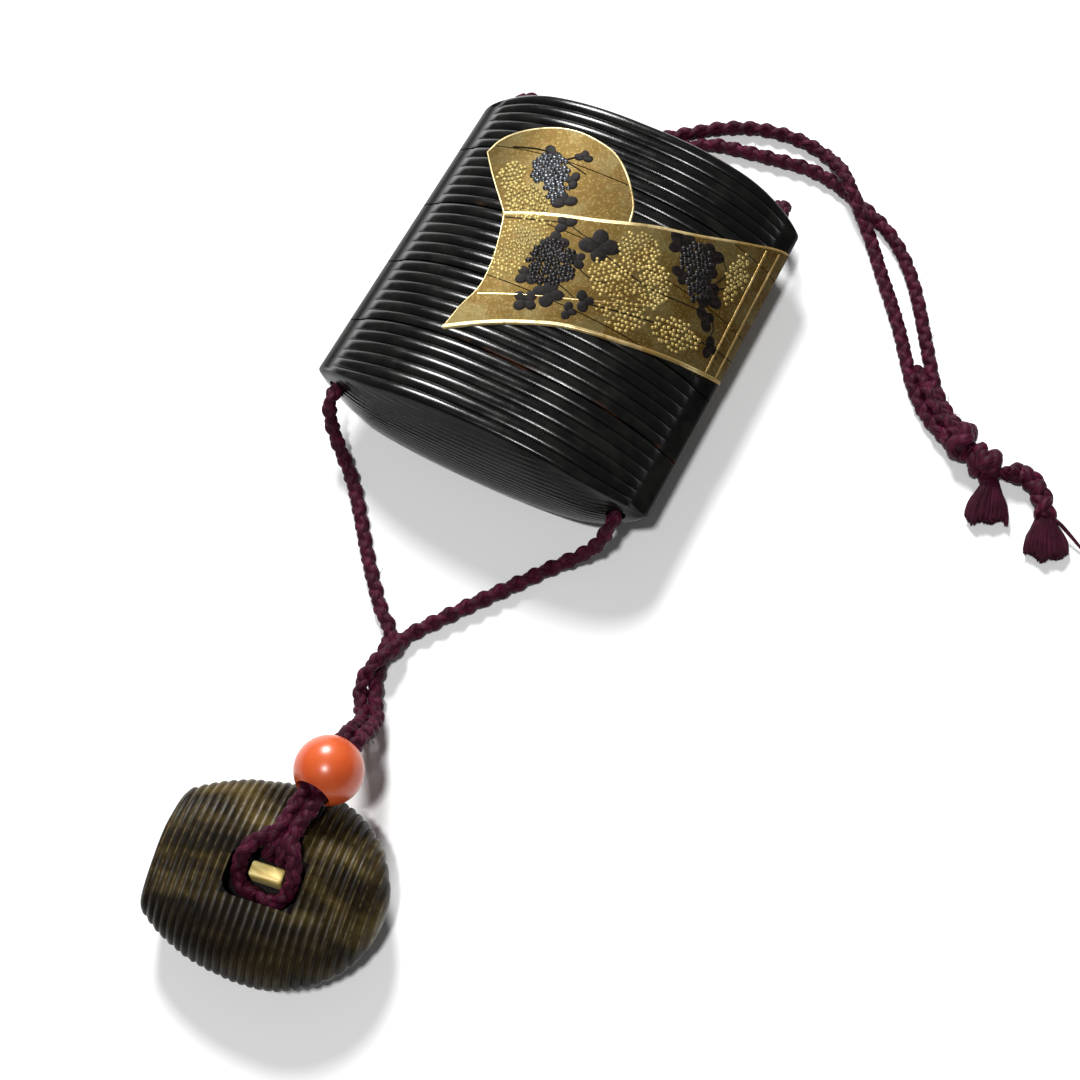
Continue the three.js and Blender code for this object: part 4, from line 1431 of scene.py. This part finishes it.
def horn_finish(group):
    """Dark mottled toggle, with tan lines along the crests of its ribs, partly its own colour and partly painted
    highlight; painted shade darkens one side and the pocket.
    """
    material, tree, shader, place_at = new_finish("mottled_horn", Specular_IOR_Level=0.11)
    _, normal = handled(tree, place_at, group)
    middle_at = TOGGLE_CENTRE + ASIDE
    local = add(tree, "ShaderNodeVectorMath", {0: place_at, 1: middle_at}, operation="SUBTRACT")
    turned = add(
        tree, "ShaderNodeVectorRotate", {"Vector": local.outputs[0], "Angle": -TOGGLE_TURN},
        rotation_type="Z_AXIS",
    )
    place_on = turned.outputs[0]
    parts = add(tree, "ShaderNodeSeparateXYZ", {0: place_on})
    along, across = parts.outputs["X"], parts.outputs["Y"]
    pitch = (TOGGLE_ROUND_END + TOGGLE_CUT_END) / TOGGLE_RIBS
    from_groove = math_node(tree, "PINGPONG", math_node(tree, "ADD", along, TOGGLE_CUT_END), pitch / 2)
    crest = mask(tree, from_groove, pitch * 0.36, pitch * 0.48)
    bands = noise_at(tree, place_on, 0.11, 4, (0.8, 2.2, 1.2))
    body = ramp(tree, bands, HORN_BODY)
    # The tan along the crests is partly the horn's own colour and partly a painted highlight where light catches each
    # crest.
    tan = ramp(tree, bands, HORN_CREST_TAN_AND_HIGHLIGHT)
    patchy = mask(tree, noise_at(tree, place_on, 0.5, 5, (0.4, 1.6, 1)), 0.3, 0.66)
    colour = mixed(tree, math_node(tree, "MULTIPLY", crest, patchy), body, tan)
    # Painted shade: the toggle darkens towards one side, as if turned from the light.
    shade = math_node(tree, "ADD", across, math_node(tree, "MULTIPLY", bands, 9.0))
    shade = math_node(tree, "MULTIPLY", mask(tree, shade, 5.5, -4.0), 0.72)
    colour = mixed(tree, shade, colour, HORN_PAINTED_SHADE)
    # Painted shade: the walls and floor of the pocket round the bar are darkened as if in shadow.
    pocket_at = Matrix.Rotation(-TOGGLE_TURN, 3, "Z") @ (POCKET_FLOOR - TOGGLE_CENTRE)
    inside = add(tree, "ShaderNodeVectorMath", {0: place_on, 1: pocket_at}, operation="SUBTRACT")
    inside = add(tree, "ShaderNodeVectorMath", {0: inside.outputs[0]}, operation="ABSOLUTE")
    inside = add(tree, "ShaderNodeSeparateXYZ", {0: inside.outputs[0]})
    reach = [math_node(tree, "DIVIDE", inside.outputs[axis], POCKET_SIZE[axis] / 2) for axis in (0, 1)]
    in_pocket = mask(tree, math_node(tree, "MAXIMUM", *reach), 1.04, 0.98)
    colour = mixed(tree, in_pocket, colour, POCKET_PAINTED_SHADE)
    roughness = mask(tree, noise_at(tree, place_on, 0.9, 5), -1.0, 2.6)
    link(tree, shader, Base_Color=colour, Normal=normal, Roughness=roughness)
    return material


def bone_finish(group):
    material, tree, shader, place_at = new_finish("pale_bone", Roughness=0.35)
    _, normal = handled(tree, place_at, group)
    grain = noise_at(tree, place_at, 0.9, 4, (0.3, 1.2, 2))
    link(tree, shader, Base_Color=ramp(tree, grain, BONE_GRAIN), Normal=normal)
    return material


def make_fibre_lines():
    """Fine fibres that run along a strand, from its U in mm and its V round it."""
    group = bpy.data.node_groups.new("fibre_lines", "ShaderNodeTree")
    group.interface.new_socket(name="UV", in_out="INPUT", socket_type="NodeSocketVector")
    group.interface.new_socket(name="Lines", in_out="OUTPUT", socket_type="NodeSocketFloat")
    group.interface.new_socket(name="Normal", in_out="OUTPUT", socket_type="NodeSocketVector")
    uv = add(group, "NodeGroupInput").outputs["UV"]
    lines = noise_at(group, uv, 1.0, 3, (0.9, 26, 1))
    bump = add(group, "ShaderNodeBump", {"Height": lines, "Strength": 0.8, "Distance": 0.00012})
    leave = add(group, "NodeGroupOutput")
    group.links.new(lines, leave.inputs["Lines"])
    group.links.new(bump.outputs[0], leave.inputs["Normal"])
    return group


def silk_finish(name, group, dark, light):
    """Dyed silk: fine fibres along each strand, with a soft sheen."""
    material, tree, shader, place_at = new_finish(
        name, Roughness=0.55, Sheen_Weight=0.03, Sheen_Roughness=0.4,
        Sheen_Tint=SILK_SHEEN, Specular_IOR_Level=0.1,
    )
    uv = add(tree, "ShaderNodeUVMap", uv_map="UVMap").outputs[0]
    fibres = add(tree, "ShaderNodeGroup", {"UV": uv}, node_tree=group)
    tone = mask(tree, fibres.outputs["Lines"], 0.34, 0.72)
    faded = mask(tree, noise_at(tree, place_at, 0.5, 5), 0.35, 0.75)
    share = math_node(tree, "MULTIPLY", tone, math_node(tree, "ADD", faded, 0.25))
    link(tree, shader, Base_Color=mixed(tree, share, dark, light), Normal=fibres.outputs["Normal"])
    return material


def floor_finish():
    material, tree, shader, place_at = new_finish("pale_floor", Roughness=0.9)
    tone = mask(tree, noise_at(tree, place_at, 0.01, 3), 0.3, 0.7)
    link(tree, shader, Base_Color=mixed(tree, tone, *FLOOR_TONES))
    return material


# Room

def make_room():
    bm = bmesh.new()
    bmesh.ops.create_grid(bm, x_segments=2, y_segments=2, size=FLOOR_HALF_SIZE)
    bmesh.ops.translate(bm, verts=bm.verts, vec=(0, 0, -FLOOR_DROP))
    floor = loose_object("pale_floor", bm)
    floor.data.materials.append(floor_finish())
    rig.stage(floor)


def add_light(name, direction, distance, size, power):
    light = bpy.data.lights.new(name, "AREA")
    light.shape = "DISK"
    light.size = size
    light.energy = power
    lamp = bpy.data.objects.new(name, light)
    bpy.context.scene.collection.objects.link(lamp)
    lamp.location = Vector(direction).normalized() * distance
    lamp.rotation_euler = Vector(direction).to_track_quat("Z", "Y").to_euler()


def make_camera():
    back = Vector((
        math.sin(VIEW_AZIMUTH) * math.cos(VIEW_ELEVATION),
        -math.cos(VIEW_AZIMUTH) * math.cos(VIEW_ELEVATION),
        math.sin(VIEW_ELEVATION),
    ))
    level = Vector((math.cos(VIEW_AZIMUTH), math.sin(VIEW_AZIMUTH), 0))
    upright = back.cross(level)
    right = level * math.cos(VIEW_ROLL) + upright * math.sin(VIEW_ROLL)
    up = upright * math.cos(VIEW_ROLL) - level * math.sin(VIEW_ROLL)
    data = bpy.data.cameras.new("view")
    data.sensor_width = SENSOR_MM
    data.lens = LENS_MM
    data.clip_start = 0.01
    camera = bpy.data.objects.new("view", data)
    bpy.context.scene.collection.objects.link(camera)
    turn = Matrix((right, up, back)).transposed().to_4x4()
    camera.matrix_world = Matrix.Translation((LOOK_AT + back * VIEW_DISTANCE) * MM) @ turn
    bpy.context.scene.camera = camera


def make_lights():
    world = bpy.data.worlds.new("room")
    world.use_nodes = True
    world.node_tree.nodes["Background"].inputs["Color"].default_value = (1, 1, 1, 1)
    world.node_tree.nodes["Background"].inputs["Strength"].default_value = WORLD_STRENGTH
    bpy.context.scene.world = world
    add_light("window", direction=(-0.45, 0.6, 0.65), distance=0.9, size=0.26, power=12.5)
    add_light("lamp", direction=(0.0, -0.3, 0.95), distance=0.9, size=0.1, power=5)
    bpy.context.scene.view_settings.view_transform = "Standard"


make_camera()
make_lights()
make_room()

surface = make_handled_surface()
fibres = make_fibre_lines()
silk = silk_finish("dyed_silk", fibres, dark=(0.018, 0.0014, 0.0055), light=(0.1, 0.0085, 0.034))
fray = silk_finish("frayed_silk", fibres, dark=(0.017, 0.0014, 0.0055), light=(0.09, 0.0085, 0.032))
make_cords(silk, fray)
make_inro(lacquer_finish(surface))
make_panel(
    ground=gold_finish(
        "gold_ground", surface, bright=(0.076, 0.047, 0.0088), deep=(0.068, 0.039, 0.0075),
        flakes=0.06, metallic=0.5, roughness=0.48,
    ),
    # The fold ridges' pale gold is partly the brighter gold of the raised lines and partly a painted highlight along
    # them.
    edges=gold_finish(
        "gold_edges_and_highlight", surface, bright=(0.95, 0.76, 0.4), deep=(0.3, 0.19, 0.06),
        flakes=0.05, metallic=0.45, roughness=0.3,
    ),
    pale=gold_finish(
        "gold_berries", surface, bright=(0.42, 0.32, 0.11), deep=(0.22, 0.155, 0.045),
        flakes=0.2, metallic=0.4, roughness=0.4,
    ),
    dark=vine_finish(
        "dark_berries", surface, low=(0.004, 0.0035, 0.0035), high=(0.013, 0.01, 0.01),
        Roughness=0.34, Specular_IOR_Level=0.14,
    ),
    silver=vine_finish(
        "silver_berries", surface, low=(0.006, 0.007, 0.009), high=(0.08, 0.088, 0.1),
        Roughness=0.28, Metallic=0.35,
    ),
    vine=vine_finish(
        "dark_vine", surface, low=(0.004, 0.0032, 0.003), high=(0.012, 0.009, 0.008),
        Roughness=0.45, Specular_IOR_Level=0.05,
    ),
)
make_bead(coral_finish(surface))
make_toggle(horn_finish(surface))
make_bar(bone_finish(surface))

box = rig.bounds()
with open("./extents.json", "w") as file:
    json.dump({"cad": [list(v) for v in cad_box], "visual": [list(v) for v in box]}, file)
